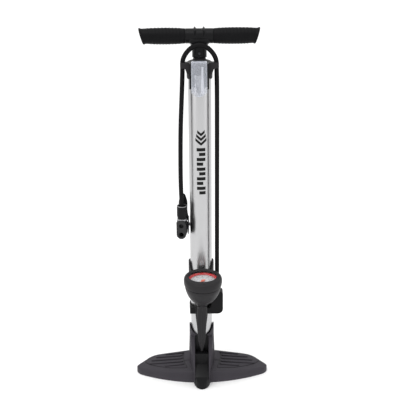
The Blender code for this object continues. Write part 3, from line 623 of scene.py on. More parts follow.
PANEL = [(0.0270, -0.0236), (0.0585, -0.0182), (0.0820, -0.0084), (0.0985, 0.0020), (0.1065, 0.0110),
         (0.1010, 0.0220), (0.0900, 0.0295), (0.0690, 0.0325), (0.0350, 0.0345), (0.0362, 0.0270),
         (0.0355, 0.0110), (0.0312, -0.0100)]
TREADS = [((0.0365, 0.0288), (0.0660, 0.0288)), ((0.0392, 0.0195), (0.0840, 0.0222)),
          ((0.0385, 0.0095), (0.0920, 0.0125)), ((0.0370, -0.0013), (0.0950, 0.0025)),
          ((0.0350, -0.0108), (0.0660, -0.0103))]


def tread(start, end, half=0.0021, low=-0.0012, high=0.0020):
    """A long pill laid between two points."""
    start, end = np.array(start), np.array(end)
    way = (end - start) / np.linalg.norm(end - start)
    side = np.array([-way[1], way[0]])
    a = np.linspace(-pi / 2, pi / 2, 9)[:, None]
    far = end + half * (np.cos(a) * way + np.sin(a) * side)
    near = start + half * (np.cos(a + pi) * way + np.sin(a + pi) * side)
    return slab(np.vstack([far, near]), low, high, min(0.0012, (high - low) / 3), steps=4)


def make_foot():
    inner = wing_rings(0.0040, 0.0030, 0.002, lower=0.0038, steps=6)
    wings = skin(list(reversed(inner)) + wing_rings(0.0, 0.0036, 0.0026))
    shells_piece("foot_wings", [wings], FOOT, "pump", "foot_plastic", "base_foot", sharp=50)

    panel = flow(soften(PANEL, 0.004, 3), 1, closed=True)
    plate = on_wing(slab(panel, -0.0010, 0.0006, 0.0005))
    bars = [on_wing(tread(*ends), 0.0004) for ends in TREADS]
    pads = [plate, *bars]
    shells_piece("foot_treads", both_sides(pads), FOOT, "pump", "foot_plastic")
    # Painted shadow: thin black shells just under the panel's rim and round each tread stand in for the shade
    # in the grooves around them; no groove is cut.
    edge = on_wing(slab(inset(panel, -0.0010), -0.0010, 0.0003, 0.0002))
    painted_groove_shadows = [edge, *(on_wing(tread(*ends, 0.0031, 0.0002, 0.0008)) for ends in TREADS)]
    shells_piece("foot_painted_groove_shadows", both_sides(painted_groove_shadows), BLACK, "pump", "foot_plastic")

    half_widths = [(0.012, 0.0205), (-0.022, 0.0200), (-0.032, 0.0170), (-0.042, 0.0145),
                   (-0.050, 0.0128), (-0.056, 0.0095), (-0.0592, 0.0050)]
    right = [(half, y) for y, half in half_widths]
    plan = soften(right + [(0.0, -0.0604)] + [(-half, y) for half, y in reversed(right)], 0.002, 3)
    crest = [(0.012, -0.001), (-0.0618, -0.001), (-0.0618, 0.0075), (-0.0588, 0.0125), (-0.052, 0.0225),
             (-0.040, 0.0405), (-0.030, 0.0600), (-0.0215, 0.0850), (0.012, 0.0850)]
    toe = formed("toe_part", [slab(plan, 0.0002, 0.09, 0.0001)])
    keep = bare("toe_keep", slab(crest, -0.03, 0.03, 0.0001, along="x"))
    only = toe.modifiers.new("crest", "BOOLEAN")
    only.operation, only.solver, only.object = "INTERSECT", "EXACT", keep
    toe_shell = shell_of(finished_mesh(toe, 40))
    for old in (toe, keep):
        bpy.data.objects.remove(old)
    trough = [(-0.0190, 0.090), (-0.0190, 0.054), (-0.0300, 0.054), (-0.0300, 0.0320), (-0.054, 0.0190),
              (-0.070, 0.0190), (-0.070, 0.090)]
    nose_gap = [(-0.0400, -0.005), (-0.0400, 0.0225), (-0.070, 0.0225), (-0.070, -0.005)]
    socket = turned([(SOCKET_FOOT_R, 0.0002), (SOCKET_FOOT_R, 0.050), (SOCKET_R, 0.080),
                     (SOCKET_R, SOCKET_TIP)], 72)
    neckline = np.array([(0.0205 * cos(2 * pi * i / 48), SOCKET_TIP
                          + (SOCKET_TIP - SOCKET_DIP) * sin(2 * pi * i / 48)) for i in range(48)])
    prow = formed("foot_prow", [toe_shell, socket],
                  [slab(trough, -TROUGH_HALF, TROUGH_HALF, 0.0001, along="x"),
                   slab(nose_gap, -TROUGH_HALF, TROUGH_HALF, 0.0001, along="x"),
                   slab(neckline, -0.05, 0.05, 0.0001, along="y"),
                   turned([(FIT_R, 0.012), (FIT_R, 0.12)], 72)], voxel=0.0007, passes=5)
    fitted(prow, FOOT, "pump", "foot_plastic")

    lining = [slab(box_outline(-LINING_HALF, LINING_HALF, -0.0319, -0.0188, 0.0005), 0.0315, 0.0562, 0.0005),
              slab(box_outline(-LINING_HALF, LINING_HALF, -0.0195, -0.0186, 0.0002), 0.0560, 0.0870, 0.0002)]
    floor = [(-0.0318, 0.0352), (-0.0520, 0.0229), (-0.0535, 0.0216), (-0.0535, 0.0180), (-0.0318, 0.0300)]
    lining.append(slab(floor, -LINING_HALF, LINING_HALF, 0.0003, along="x"))
    nose = [(-0.0402, 0.0119, 0.0206), (-0.0500, 0.0119, 0.0212), (-0.0535, 0.0108, 0.0204),
            (-0.0560, 0.0088, 0.0166), (-0.0584, 0.0056, 0.0124), (-0.0600, 0.0022, 0.0080)]
    lining.append(skin([upright(soften([(-w, 0.0004), (w, 0.0004), (w, z), (-w, z)], 0.0016, 4), y)
                        for y, w, z in nose]))
    shells_piece("trough_lining", lining, BLACK, "pump", "black_plastic")


make_foot()


# ------------------------------------------------------------------ barrel and its printed mark
def curved_tile(left, right, low, high, rise=0.0, middle=0.0, lift=0.00008):
    """A thin tile that hugs the barrel's front: its width is an arc, and its height follows the distance from
    the middle times the rise, so that a wide tile with a rise is a chevron."""
    across = np.linspace(left, right, 13)
    angle = -pi / 2 + across / BARREL_R
    rings = []
    for depth, edge in ((-0.0001, 0), (lift, 0), (lift, 1), (-0.0001, 1)):
        radius = BARREL_R + depth
        height = (high if edge else low) + rise * np.abs(across - middle)
        rings.append(np.stack([radius * np.cos(angle), radius * np.sin(angle), height], -1))
    return skin(np.array(rings).transpose(1, 0, 2))


def make_barrel():
    tube = turned([(0.0175, 0.016), (BARREL_R, 0.016), (BARREL_R, 0.574), (0.0175, 0.574)], 128, 0.0003, True)
    shells_piece("barrel", [tube], ALUMINIUM, "pump", "barrel_aluminium", "barrel_tube")
    marks = [curved_tile(left, right, low, high, 0.85, 0.0015)
             for left, right, low, high in ((-0.0080, 0.0110, 0.4415, 0.4465),
                                            (-0.0066, 0.0096, 0.4495, 0.4545),
                                            (-0.0048, 0.0078, 0.4575, 0.4625))]
    for count in range(5):
        top = 0.4375 - 0.0168 * count
        marks.append(curved_tile(-0.0060, 0.0088, top - 0.0056, top))
        right = 0.0088 - 0.0040 * (count % 2)
        marks.append(curved_tile(-0.0060 + 0.0040 * ((count + 1) % 2), right, top - 0.0136, top - 0.0080))
    shells_piece("barrel_mark", marks, PRINT_BLACK, "pump", "black_plastic")


make_barrel()


# ------------------------------------------------------------------ gauge
GAUGE_YAW, GAUGE_TILT = radians(3.0), radians(3.0)
GAUGE_Y, GAUGE_Z = -0.0545, 0.221
BOWL_R = 0.0326


def on_yaw(shell):
    return moved(shell, spun(GAUGE_YAW, "Z"))


def on_face(shell):
    return on_yaw(moved(shell, spun(GAUGE_TILT, "X"), (0, GAUGE_Y, GAUGE_Z)))


def gauge_bowl():
    """The bowl: level rings whose radius and centre follow a smooth curve, then back down inside."""
    rows = flow([(-0.0380, 0.1590, 0.0083), (-0.0410, 0.1660, 0.0128), (-0.0455, 0.1740, 0.0195),
                 (-0.0488, 0.1830, 0.0248), (-0.0515, 0.1920, 0.0282), (-0.0533, 0.1995, 0.0302),
                 (-0.0538, 0.2052, 0.0312)], 6)
    angle = np.linspace(0, 2 * pi, 96, endpoint=False)
    ring = np.stack([np.cos(angle), np.sin(angle), 0 * angle], -1)
    rings = []
    for i, (y, z, radius) in enumerate(rows):
        rings.append((ring * radius) @ spun(GAUGE_TILT * i / (len(rows) - 1), "X").T + (0, y, z))
    for radius, height in ((0.0285, -0.0152), (0.0275, -0.0165), (0.0275, -0.0268)):
        rings.append((ring * radius + (0, 0, height)) @ spun(GAUGE_TILT, "X").T + (0, GAUGE_Y, GAUGE_Z))
    return skin(rings)


SADDLE_R, SADDLE_LOW, SADDLE_TIP = 0.0222, 0.1797, 0.2270
DIP_HALF, DIP_DEPTH, DIP_TOP = 0.0203, 0.0296, 0.2275
LIP_R, LIP_ACROSS, LIP_ALONG, LIP_BACK = 0.0140, 0.0240, 0.0197, 0.0054


def saddle_top(x, y):
    """The saddle's top edge dips in an ellipse in front and behind, the same for either sign of y."""
    inside = np.clip(1 - (x / DIP_HALF) ** 2, 0, 1)
    return np.where(np.abs(x) < DIP_HALF, DIP_TOP - DIP_DEPTH * np.sqrt(inside), SADDLE_TIP)


def gauge_rim():
    """The rim: round outside; its inner lip is an ellipse set back, so it is widest in front."""
    profile = np.array([(0.0292, -0.0148, 0), (0.0316, -0.0148, 0), (0.0318, -0.0143, 0),
                        (BOWL_R, -0.0100, 0), (BOWL_R, -0.0042, 0), (0.0316, -0.0012, 0),
                        (0.0292, 0.0, 0), (LIP_R, -0.0020, 1), (LIP_R, -0.0042, 1),
                        (0.0281, -0.0044, 0), (0.0281, -0.0130, 0), (0.0292, -0.0135, 0)])
    line = soften(profile, 0.0009, 4)
    angle = np.linspace(0, 2 * pi, 128, endpoint=False)
    share = line[:, 2:]
    outer = np.where(share < 1, (line[:, :1] - LIP_R * share) / np.maximum(1 - share, 1e-6), 0.0)
    x = (1 - share) * outer * np.cos(angle) + share * LIP_ACROSS * np.cos(angle)
    y = (1 - share) * outer * np.sin(angle) + share * (LIP_BACK + LIP_ALONG * np.sin(angle))
    return skin(np.stack([x, y, line[:, 1:2] + 0 * angle], -1), True)


def make_gauge():
    saddle = necked_tube(FIT_R, SADDLE_R, SADDLE_LOW,
                         lambda x, y: np.minimum(saddle_top(x, y), SADDLE_TIP))
    bridge = slab(box_outline(-0.0118, 0.0118, -0.034, -0.0200, 0.001), 0.1807, 0.2028, 0.0008)
    shells_piece("gauge_pod", [on_yaw(gauge_bowl()), saddle, on_yaw(bridge)], DARK, "pump", "dark_plastic",
                 "gauge_housing", sharp=55)
    # Painted shade: a thin black tile on the rim's front stands for the shade in the rim's notch; no notch is
    # cut.
    painted_notch_shade = slab(box_outline(-0.0011, 0.0011, -0.0004, 0.0004, 0.0003), -0.0002, 0.0004, 0.0002)
    painted_notch_shade = moved(painted_notch_shade, None, (0.0004, -0.0262, -0.0004))
    shells_piece("gauge_rim", [on_face(gauge_rim())], DARK, "pump", "dark_plastic", "gauge_bezel")
    shells_piece("rim_notch", [on_face(painted_notch_shade)], PRINT_BLACK, "pump", "black_plastic")
    ring = [(0.0220, -0.0085), (0.0277, -0.0085), (0.0277, -0.0065), (0.0226, -0.0065)]
    shells_piece("gauge_ring", [on_face(turned(ring, 128, 0.0004, True))], RED, "pump", "red_trim",
                 "gauge_trim_ring")
    dial = turned([(0.0016, -0.0101), (0.0272, -0.0101), (0.0272, -0.0088), (0.0016, -0.0088)], 96, 0.0001,
                  True)
    shells_piece("dial_plate", [on_face(dial)], DIAL_IN_PAINTED_SHADE, "pump", "dial_white", "gauge_dial")
    glass = turned([(0.0277, -0.0062), (0.0277, -0.0047)], 96)
    lens = clear_finish("lens_plastic", (0.93, 0.94, 0.96), 0.03, 0.03, roughness=0.06)
    shells_piece("lens", [on_face(glass)], lens, "pump", "clear_plastic", "gauge_lens")
    make_dial_print()
    make_pointer()


DIAL_TOP, SCALE_START, SCALE_SWEEP, SCALE_R = -0.00878, 225, 270, 0.0209


def dial_tile(start, end, inner, outer, level=DIAL_TOP):
    """A thin printed tile on the dial between two angles and two radii."""
    angle = np.radians(np.linspace(start, end, max(3, int(abs(end - start) / 3) + 2)))
    rings = []
    for radius, height in ((inner, level - 0.0001), (inner, level), (outer, level), (outer, level - 0.0001)):
        rings.append(np.stack([radius * np.cos(angle), radius * np.sin(angle), 0 * angle + height], -1))
    return skin(np.array(rings).transpose(1, 0, 2))


def numeral(text, angle, radius, size):
    """A printed number, centred on its place on the dial and standing upright."""
    data = bpy.data.curves.new("numeral", "FONT")
    data.body, data.size, data.extrude = text, size, 0.00004
    data.align_x, data.align_y = "CENTER", "CENTER"
    data.resolution_u = 3
    made = bpy.data.objects.new("numeral", data)
    bpy.context.scene.collection.objects.link(made)
    mesh = bpy.data.meshes.new_from_object(made.evaluated_get(bpy.context.evaluated_depsgraph_get()))
    bpy.data.objects.remove(made)
    a = radians(angle)
    return moved(shell_of(mesh), None, (radius * cos(a), radius * sin(a), DIAL_TOP))


def make_dial_print():
    """Two scales of ticks round 270 degrees, each with its arc; one row of numbers, and a red band at the
    inner scale's end.
    """
    ticks = []
    for count in range(65):
        angle = SCALE_START - SCALE_SWEEP * count / 64
        length = 0.0032 if count % 8 == 0 else 0.0021 if count % 4 == 0 else 0.0013
        width = 0.9 if count % 8 == 0 else 0.5
        ticks.append(dial_tile(angle - width, angle + width, SCALE_R - length, SCALE_R))
    for count in range(23):
        angle = SCALE_START - SCALE_SWEEP * count / 22
        ticks.append(dial_tile(angle - 0.8, angle + 0.8, 0.0108, 0.0118))
    for inner, outer in ((0.0211, 0.0213), (0.0120, 0.0122)):
        ticks.append(dial_tile(SCALE_START - SCALE_SWEEP, SCALE_START, inner, outer))
    for count in range(9):
        ticks.append(numeral(str(count * 20), SCALE_START - SCALE_SWEEP * count / 8, 0.0152, 0.0032))
    ticks.append(dial_tile(0, 360, 0.0030, 0.0034, -0.00879))
    shells_piece("dial_print", [on_face(shell) for shell in ticks], PRINT_BLACK, "pump", "black_plastic")
    band = dial_tile(-45, -5, 0.0124, 0.0130)
    shells_piece("dial_band", [on_face(band)], PRINT_RED, "pump", "red_trim")


def make_pointer():
    outline = [(-0.0012, -0.0058), (0.0012, -0.0058), (0.0011, 0.0), (0.0004, 0.0178), (-0.0004, 0.0178),
               (-0.0011, 0.0)]
    blade = moved(slab(soften(outline, 0.0003, 3), -0.0079, -0.0074, 0.0002), spun(radians(135), "Z"))
    hub = turned([(0.0028, -0.0081), (0.0028, -0.0067)], 40)
    shells_piece("pointer", [on_face(blade), on_face(hub)], ORANGE, "needle", "needle_paint", "gauge_needle")


make_gauge()


# ------------------------------------------------------------------ stalk under the gauge
def rounded_section(centre, half_width, half_depth, count=9):
    """A level ring: a rectangle with round corners, corner by corner."""
    corner = 0.42 * min(half_width, half_depth)
    spots = []
    for quarter, (sx, sy) in enumerate(((1, 1), (-1, 1), (-1, -1), (1, -1))):
        angle = pi / 2 * (quarter + np.linspace(0, 1, count))
        spots.append(np.column_stack([centre[0] + sx * (half_width - corner) + corner * np.cos(angle),
                                      centre[1] + sy * (half_depth - corner) + corner * np.sin(angle),
                                      np.full(count, centre[2])]))
    return np.vstack(spots)


def make_stalk():
    rows = flow([(0, -0.0262, 0.0600, 0.0012, 0.0022), (0, -0.0274, 0.0720, 0.0040, 0.0040),
                 (0, -0.0290, 0.0850, 0.0066, 0.0056), (0, -0.0304, 0.1030, 0.0076, 0.0060),
                 (0, -0.0314, 0.1190, 0.0084, 0.0064), (0.0002, -0.0322, 0.1330, 0.0086, 0.0067),
                 (0.0008, -0.0336, 0.1460, 0.0083, 0.0074), (0.0018, -0.0374, 0.1585, 0.0080, 0.0076)], 6)
    bar = skin([rounded_section(row[:3], row[3], row[4]) for row in rows])
    flange = soften([(-0.0077, 0.1032), (0.0077, 0.1032), (0.0108, 0.1325), (0.0105, 0.1478),
                     (-0.0105, 0.1478), (-0.0108, 0.1325)], 0.003, 5)
    rib = []
    for x, y, z, _, depth in rows[8:]:
        side = np.array([(-0.0008, 0.0010), (-0.0006, -0.0004), (0, -0.0007), (0.0006, -0.0004),
                         (0.0008, 0.0010)])
        rib.append(np.column_stack([x + side[:, 0], y - depth + side[:, 1], np.full(5, z)]))
    shells_piece("gauge_stem", [bar, slab(flange, -0.0272, -0.0246, 0.0008, along="y"), skin(rib)],
                 DARK, "pump", "dark_plastic", "gauge_stalk", sharp=50)


make_stalk()


# ------------------------------------------------------------------ outlet collar and ferrule
OUTLET = (0.02765, HOSE_DEPTH, 0.0)
COLLAR_LOW, COLLAR_HIGH, ELBOW_HIGH = 0.1332, 0.1450, 0.1756


def make_outlet():
    ring = turned([(0.0214, COLLAR_LOW + 0.0004), (0.0214, COLLAR_HIGH - 0.0004)], 72)
    band = [(-0.0206, 0.0020), (-0.0206, -0.0225), (-0.0191, -0.0240), (0.0180, -0.0240), (0.0180, 0.0020)]
    corner = [(0.0291 + 0.0090 * cos(radians(a)), COLLAR_LOW + 0.0090 + 0.0090 * sin(radians(a)))
              for a in range(-90, 1, 9)]
    elbow = [(0.0150, COLLAR_LOW)] + corner + [(0.0381, ELBOW_HIGH - 0.0040), (0.0370, ELBOW_HIGH - 0.0011),
                                               (0.0341, ELBOW_HIGH), (0.0172, ELBOW_HIGH), (0.0172, 0.1500),
                                               (0.0150, 0.1470)]
    block = formed("outlet_block",
                   [ring, slab(band, COLLAR_LOW, COLLAR_HIGH, 0.0001),
                    slab(elbow, -0.0239, -0.0050, 0.0001, "y"),
                    slab(box_outline(-0.0050, 0.0050, 0.0197, 0.0290, 0.001), COLLAR_LOW + 0.0008,
                         COLLAR_HIGH - 0.0008, 0.0002)],
                   [moved(turned([(0.0052, 0.1652), (0.0052, 0.19)], 48), None, OUTLET),
                    turned([(FIT_R, 0.10), (FIT_R, 0.19)], 72),
                    slab(box_outline(-0.0008, 0.0008, 0.0150, 0.0400, 0.0001), 0.12, 0.16, 0.0001)],
                   voxel=0.0006, passes=5)
    fitted(block, BLACK, "pump", "black_plastic", "outlet_collar")
    wide, crimped, bore = 0.0049, 0.0046, 0.0039
    ferrule = [(wide, 0.1656), (wide, 0.1700), (crimped, 0.1704), (crimped, 0.1710), (wide, 0.1714),
               (wide, 0.1740), (crimped, 0.1744), (crimped, 0.1750), (wide, 0.1754), (wide, 0.1778),
               (bore, 0.1782), (bore, 0.1656)]
    shells_piece("ferrule", [moved(turned(ferrule, 48, 0.0002, True), None, OUTLET)], BLACK_STEEL, "pump",
                 "steel", "hose_ferrule")


make_outlet()


# ------------------------------------------------------------------ pump head
HEAD = (-0.0318, HOSE_DEPTH, 0.300)
HEAD_TURN = radians(-8.5)
PIN_DEPTH = 0.0055
MIDDLE, UPPER, LOWER = -0.0055, 0.0014, -0.0144


def in_head(shell):
    return moved(shell, spun(HEAD_TURN, "Z"), HEAD)


def at_pin(shell):
    return in_head(moved(shell, None, (0, PIN_DEPTH, 0)))


def oblong(half_width, half_height, count=18, up=MIDDLE):
    """A stadium outline: straight sides between two half circles."""
    a = np.linspace(0, pi, count + 1)
    straight = half_height - half_width
    top = np.column_stack([half_width * np.cos(a), straight + half_width * np.sin(a)])
    return np.vstack([top, -top]) + (0, up)


def make_head():
    outer, pocket = (0.0081, 0.0163), (0.0060, 0.0146)
    rings = []
    for a in np.linspace(0, pi / 2, 6):
        rings.append(upright(inset(oblong(*outer), 0.0016 * (1 - sin(a))), 0.0080 - 0.0016 * (1 - cos(a))))
    rings += [upright(oblong(*outer), y) for y in (0.004, -0.0085)]
    rings += [upright(inset(oblong(*outer), 0.0004), -0.0091), upright(oblong(*pocket), -0.0091),
              upright(oblong(*pocket), 0.0024)]
    neck = turned([(0.0079, -0.002), (0.0079, 0.0080), (0.0076, 0.0110), (0.0080, 0.0135), (0.0080, 0.0150)],
                  72, 0.0008)
    collar = turned([(0.0070, 0.0085), (0.0083, 0.0094), (0.0084, 0.0106), (0.0083, 0.0118),
                     (0.0070, 0.0127)], 72, 0.0006)
    shells_piece("head_band", [in_head(collar)], WORN_STEEL, "pump", "steel")
    ring = turned([(0.0073, 0.0344), (0.0087, 0.0344), (0.0087, 0.0355), (0.0073, 0.0355)], 72, 0.0003, True)
    shells_piece("nut_ring", [in_head(ring)], WORN_STEEL, "pump", "steel")
    shells_piece("head_block", [in_head(skin(rings)), in_head(neck)], BLACK, "pump",
                 "black_plastic", "head_body", sharp=50)

    plate = slab(oblong(0.0082, 0.0165), -0.0116, -0.0094, 0.0009, along="y", steps=5)
    holes = []
    for height, bore in ((UPPER, 0.0035), (LOWER, 0.0040)):
        funnel = soften([(bore, 0.0), (bore, 0.0212), (bore + 0.0009, 0.0224), (bore + 0.0009, 0.03)],
                        0.0008, 4, closed=False)
        holes.append(in_head(aimed(turned(funnel, 64), (0, -1, 0), (0, 0.0110, height))))
    face = formed("head_plate", [in_head(plate)], holes, sharp=35)
    fitted(face, PLATE, "pump", "black_plastic", "head_face")
    for name, node, height, bore in (("narrow_valve_seal", "presta_gasket", UPPER, 0.0034),
                                     ("wide_valve_seal", "schrader_gasket", LOWER, 0.0039)):
        seal = turned([(0.0053, 0.0), (0.0053, 0.0043), (bore + 0.0006, 0.0043), (bore, 0.0036),
                       (bore, 0.0)], 56, 0.0004, True)
        shells_piece(name, [in_head(aimed(seal, (0, -1, 0), (0, -0.0048, height)))], RUBBER, "pump", "rubber",
                     node)
    shells_piece("head_collar_nut", [in_head(fluted_nut())], BLACK, "pump", "black_plastic", "head_nut",
                 sharp=50)
    make_lever()


def fluted_nut():
    """The hose nut: a turned profile whose middle band is fluted by a cosine of the angle."""
    profile = soften([(0.0083, 0.0153), (0.0086, 0.0165), (0.0087, 0.0200), (0.0088, 0.0330),
                      (0.0087, 0.0341), (0.0072, 0.0343), (0.0055, 0.0338), (0.0045, 0.0310),
                      (0.0045, 0.0290)], 0.0006, 3, closed=False)
    angle = np.linspace(0, 2 * pi, 192, endpoint=False)
    band = np.clip(np.minimum(profile[:, 1] - 0.0180, 0.0325 - profile[:, 1]) / 0.0012, 0, 1)
    flute = 0.00022 * np.clip(np.cos(24 * angle) * 1.6, -1, 1) - 0.00022
    radius = profile[:, :1] + band[:, None] * (profile[:, :1] > 0.0083) * flute
    return skin(np.stack([radius * np.cos(angle), radius * np.sin(angle), profile[:, 1:] + 0 * angle], -1))


def make_lever():
    """The lever: a flat paddle behind the nut that narrows to its tip, on two cheeks."""
    right = [(0.0092, 0.0045), (0.0092, 0.0100), (0.0084, 0.0140), (0.0072, 0.0220), (0.0077, 0.0385),
             (0.0040, 0.0510), (0.0015, 0.0528)]
    paddle = slab(soften(right + [(-x, z) for x, z in reversed(right)], 0.004, 5), 0.0052, 0.0080, 0.0003,
                  along="y")
    cheek = [(0.0048 * cos(radians(a)), 0.0048 * sin(radians(a))) for a in range(100, 241, 10)]
    cheek += [(0.0010, -0.0190), (0.0045, -0.0200), (0.0080, -0.0080), (0.0080, 0.0120), (0.0050, 0.0120),
              (0.0020, 0.0085)]
    walls = [slab(cheek, *sorted((side * 0.0084, side * 0.0098)), 0.0001, along="x") for side in (-1, 1)]
    lever = formed("head_thumb_lever", [at_pin(paddle), *(at_pin(wall) for wall in walls)],
                   [at_pin(aimed(turned([(0.0023, -0.02), (0.0023, 0.02)], 40), (1, 0, 0)))],
                   voxel=0.0004, passes=4)
    fitted(lever, BLACK, "lever", "black_plastic", "head_lever")
    pin = turned([(0.0028, -0.0108), (0.0028, -0.0101), (0.0020, -0.0101), (0.0020, 0.0102), (0.0028, 0.0102),
                  (0.0028, 0.0127)], 40, 0.0003)
    shells_piece("lever_axle", [at_pin(aimed(pin, (1, 0, 0)))], BLACK_STEEL, "pump", "steel", "lever_pin")


make_head()


# ------------------------------------------------------------------ handle
GRIP_Z, PIN_Z, STEM_R = 0.617, 0.5905, 0.0117
GRIP_START, GRIP_TOP_END, GRIP_LOW_END = 0.0223, 0.0965, 0.0890


def grip(side):
    """A sleeve whose radius is a gentle hump along the bar with low beads on it, whose outer rings lean over
    to the slanted end, and whose end flares into a lip."""
    slant = (GRIP_TOP_END - GRIP_LOW_END) / 2 / 0.0129
    middle = (GRIP_TOP_END + GRIP_LOW_END) / 2
    angle = np.linspace(0, 2 * pi, 80, endpoint=False)
    along = np.linspace(GRIP_START, 0.0872, 150)
    hump = 0.01325 - 0.0015 * ((along - 0.056) / 0.040) ** 2
    beads = np.clip(np.minimum(along - 0.0290, 0.0820 - along) / 0.003, 0, 1)
    beads = beads * (0.5 - 0.5 * np.cos(2 * pi * (along - 0.0290) / 0.0053)) ** 2
    finger = 0.35 + 0.65 * np.abs(np.sin(angle)) ** 3
    radius = hump[:, None] - 0.00042 + 0.00042 * beads[:, None] * finger
    lean = slant * np.clip((along - 0.050) / 0.0392, 0, 1)
    ends = [(middle - 0.0046, 0.01195), (middle - 0.0032, 0.0121), (middle - 0.0022, 0.01285),
            (middle - 0.0012, 0.0129), (middle - 0.0004, 0.0128), (middle, 0.0123), (middle, 0.0100)]
    along = np.concatenate([along, [a for a, _ in ends]])
    lean = np.concatenate([lean, np.full(len(ends), slant)])
    radius = np.vstack([radius, [np.full(80, r) for _, r in ends]])
    first = np.vstack([np.full((1, 80), 0.0094), radius[:1] - 0.0005, radius])
    along = np.concatenate([[GRIP_START, GRIP_START], along + 0.0004 * (np.arange(len(along)) < 1)])
    lean = np.concatenate([[0, 0], lean])
    across, up = first * np.cos(angle), first * np.sin(angle)
    reach = along[:, None] + lean[:, None] * up
    return skin(np.stack([side * reach, across, GRIP_Z + up], -1))


def hub_fin(middle, count):
    """A fin over the top of the hub: a diamond section swept round the bar, whose half-width and height fall
    as powers of the cosine of its stretched angle, so that it fades out on both flanks."""
    rings = []
    for a in np.linspace(-105, 105, count):
        fade = max(cos(radians(a * 90 / 105)), 0.03)
        half, peak = 0.0026 * fade ** 0.8, 0.0115 + 0.0035 * fade ** 0.6
        section = np.array([(middle - half, 0.0112), (middle, 0.0090), (middle + half, 0.0112),
                            (middle, peak)])
        rings.append(np.column_stack([section[:, 0], section[:, 1] * sin(radians(a)),
                                      GRIP_Z + section[:, 1] * cos(radians(a))]))
    return skin(rings)


def make_handle():
    shells_piece("left_grip", [grip(-1)], GRIP, "handle", "grip_rubber", "grip_left", sharp=50)
    shells_piece("right_grip", [grip(1)], GRIP, "handle", "grip_rubber", "grip_right", sharp=50)
    arms = [(0.0090, -0.0800), (0.0090, -0.0221), (0.0118, -0.0221), (0.0118, 0.0221),
            (0.0090, 0.0221), (0.0090, 0.0800)]
    bar = aimed(turned(arms, 72), (1, 0, 0), (0, 0, GRIP_Z))
    stem = [(STEM_R, 0.5836), (STEM_R, 0.5940), (0.0122, 0.5985), (0.0138, 0.6033), (0.0160, 0.6058),
            (0.0182, 0.6068), (0.0182, 0.6120)]
    stem = turned(soften(stem, 0.002, 4, closed=False), 96)
    spread = stem[0]
    spread[:, 1] = np.clip(spread[:, 1], -STEM_R, STEM_R)
    bore = turned([(0.0063, 0.57), (0.0063, 0.6123)], 56)
    pin_hole = aimed(turned([(0.0020, -0.03), (0.0020, 0.03)], 32), (0, 1, 0), (0, 0, PIN_Z))
    hub = formed("handle_hub", [bar, (spread, stem[1]), hub_fin(-0.0071, 40), hub_fin(0.0071, 47)],
                 [bore, pin_hole], voxel=0.0005, passes=3)
    fitted(hub, BLACK, "handle", "black_plastic", "handle_core")
    pin = aimed(turned([(0.0017, -0.0112), (0.0017, 0.0112)], 32, 0.0003), (0, 1, 0), (0, 0, PIN_Z))
    shells_piece("hub_pin", [pin], BLACK_STEEL, "handle", "steel", "handle_pin")
    rod = [(0.0037, 0.0335), (0.0037, 0.0523), (0.0060, 0.0523), (0.0060, 0.6118), (0.0045, 0.6120)]
    shells_piece("pull_rod", [turned(rod, 64, 0.0002)], CHROME, "handle", "steel", "piston_rod")


make_handle()


# ------------------------------------------------------------------ top cap
CAP_R, CAP_BOTTOM, CAP_TOP, CAP_BORE_R = 0.0208, 0.550, 0.5831, 0.0080
CASE_LEFT, CASE_RIGHT = -0.0132, 0.0119
CASE_BACK, CASE_FRONT = -0.0214, -0.0316
CASE_LOW, CASE_HIGH, CASE_WALL, RAIL_LOW = 0.525, 0.581, 0.0015, 0.5373
CLIP_LOW, CLIP_HIGH, CLIP_END, CLIP_R = 0.5685, 0.578, 0.0308, 0.0042


def make_cap():
    body = turned([(CAP_R, CAP_BOTTOM), (0.0211, 0.560), (0.0211, 0.5735), (0.0206, 0.5757), (0.0172, 0.5778),
                   (0.0130, 0.5790), (0.0106, 0.5802), (0.0097, CAP_TOP)], 72)
    grow, carve = [body], []
    for side in (-1, 1):
        arm = [(side * x, z) for x, z in ((0.0140, 0.5595), (0.0200, 0.5600), (0.0232, CLIP_LOW),
                                          (CLIP_END, CLIP_LOW), (CLIP_END, CLIP_HIGH), (0.0140, CLIP_HIGH))]
        grow.append(slab(arm, -0.0205, -0.0080, 0.0001, along="y"))
        carve.append(moved(turned([(CLIP_R, 0.55), (CLIP_R, 0.59)], 48), None, (side * 0.027, HOSE_DEPTH, 0)))
        mouth = sorted((side * 0.027, side * 0.034))
        carve.append(slab(box_outline(*mouth, -0.0172, -0.0108, 0.0001), 0.55, 0.59, 0.0001))
    arch = np.array([(0.0185 * cos(pi * i / 24), 0.545 + 0.0125 * sin(pi * i / 24)) for i in range(25)])
    carve += [slab(arch, -0.05, -0.005, 0.0001, along="y"), turned([(FIT_R, 0.53), (FIT_R, 0.5743)], 72),
              turned([(CAP_BORE_R, 0.57), (CAP_BORE_R, 0.60)], 48)]
    cap = formed("barrel_cap", grow, carve, voxel=0.0006, passes=4)
    fitted(cap, DARK, "pump", "dark_plastic", "top_cap")
    rails = []
    for left, right in ((CASE_LEFT - 0.0032, CASE_LEFT - 0.0003), (CASE_RIGHT + 0.0003, CASE_RIGHT + 0.0032)):
        outline = soften([(left, RAIL_LOW), (right, RAIL_LOW), (right, 0.5778), (left, 0.5778)], 0.0011, 5)
        rails.append(slab(outline, -0.0300, -0.0158, 0.0005, along="y"))
    shells_piece("case_rails", rails, BLACK, "pump", "dark_plastic")


make_cap()


# ------------------------------------------------------------------ accessory case
def case_outline(gap, low, high, corner):
    """The case seen from the front: a round bottom and square shoulders."""
    left, right = CASE_LEFT + gap, CASE_RIGHT - gap
    middle, half, depth = (left + right) / 2, (right - left) / 2, 0.0085 - gap
    bottom = [(middle - half * cos(pi * i / 20), low + depth - depth * sin(pi * i / 20))
              for i in range(1, 20)]
    return np.vstack([[(left, low + depth)], bottom, [(right, low + depth)],
                      soften([(right, low + depth), (right, high), (left, high), (left, low + depth)],
                             corner, 5, closed=False)[1:-1]])


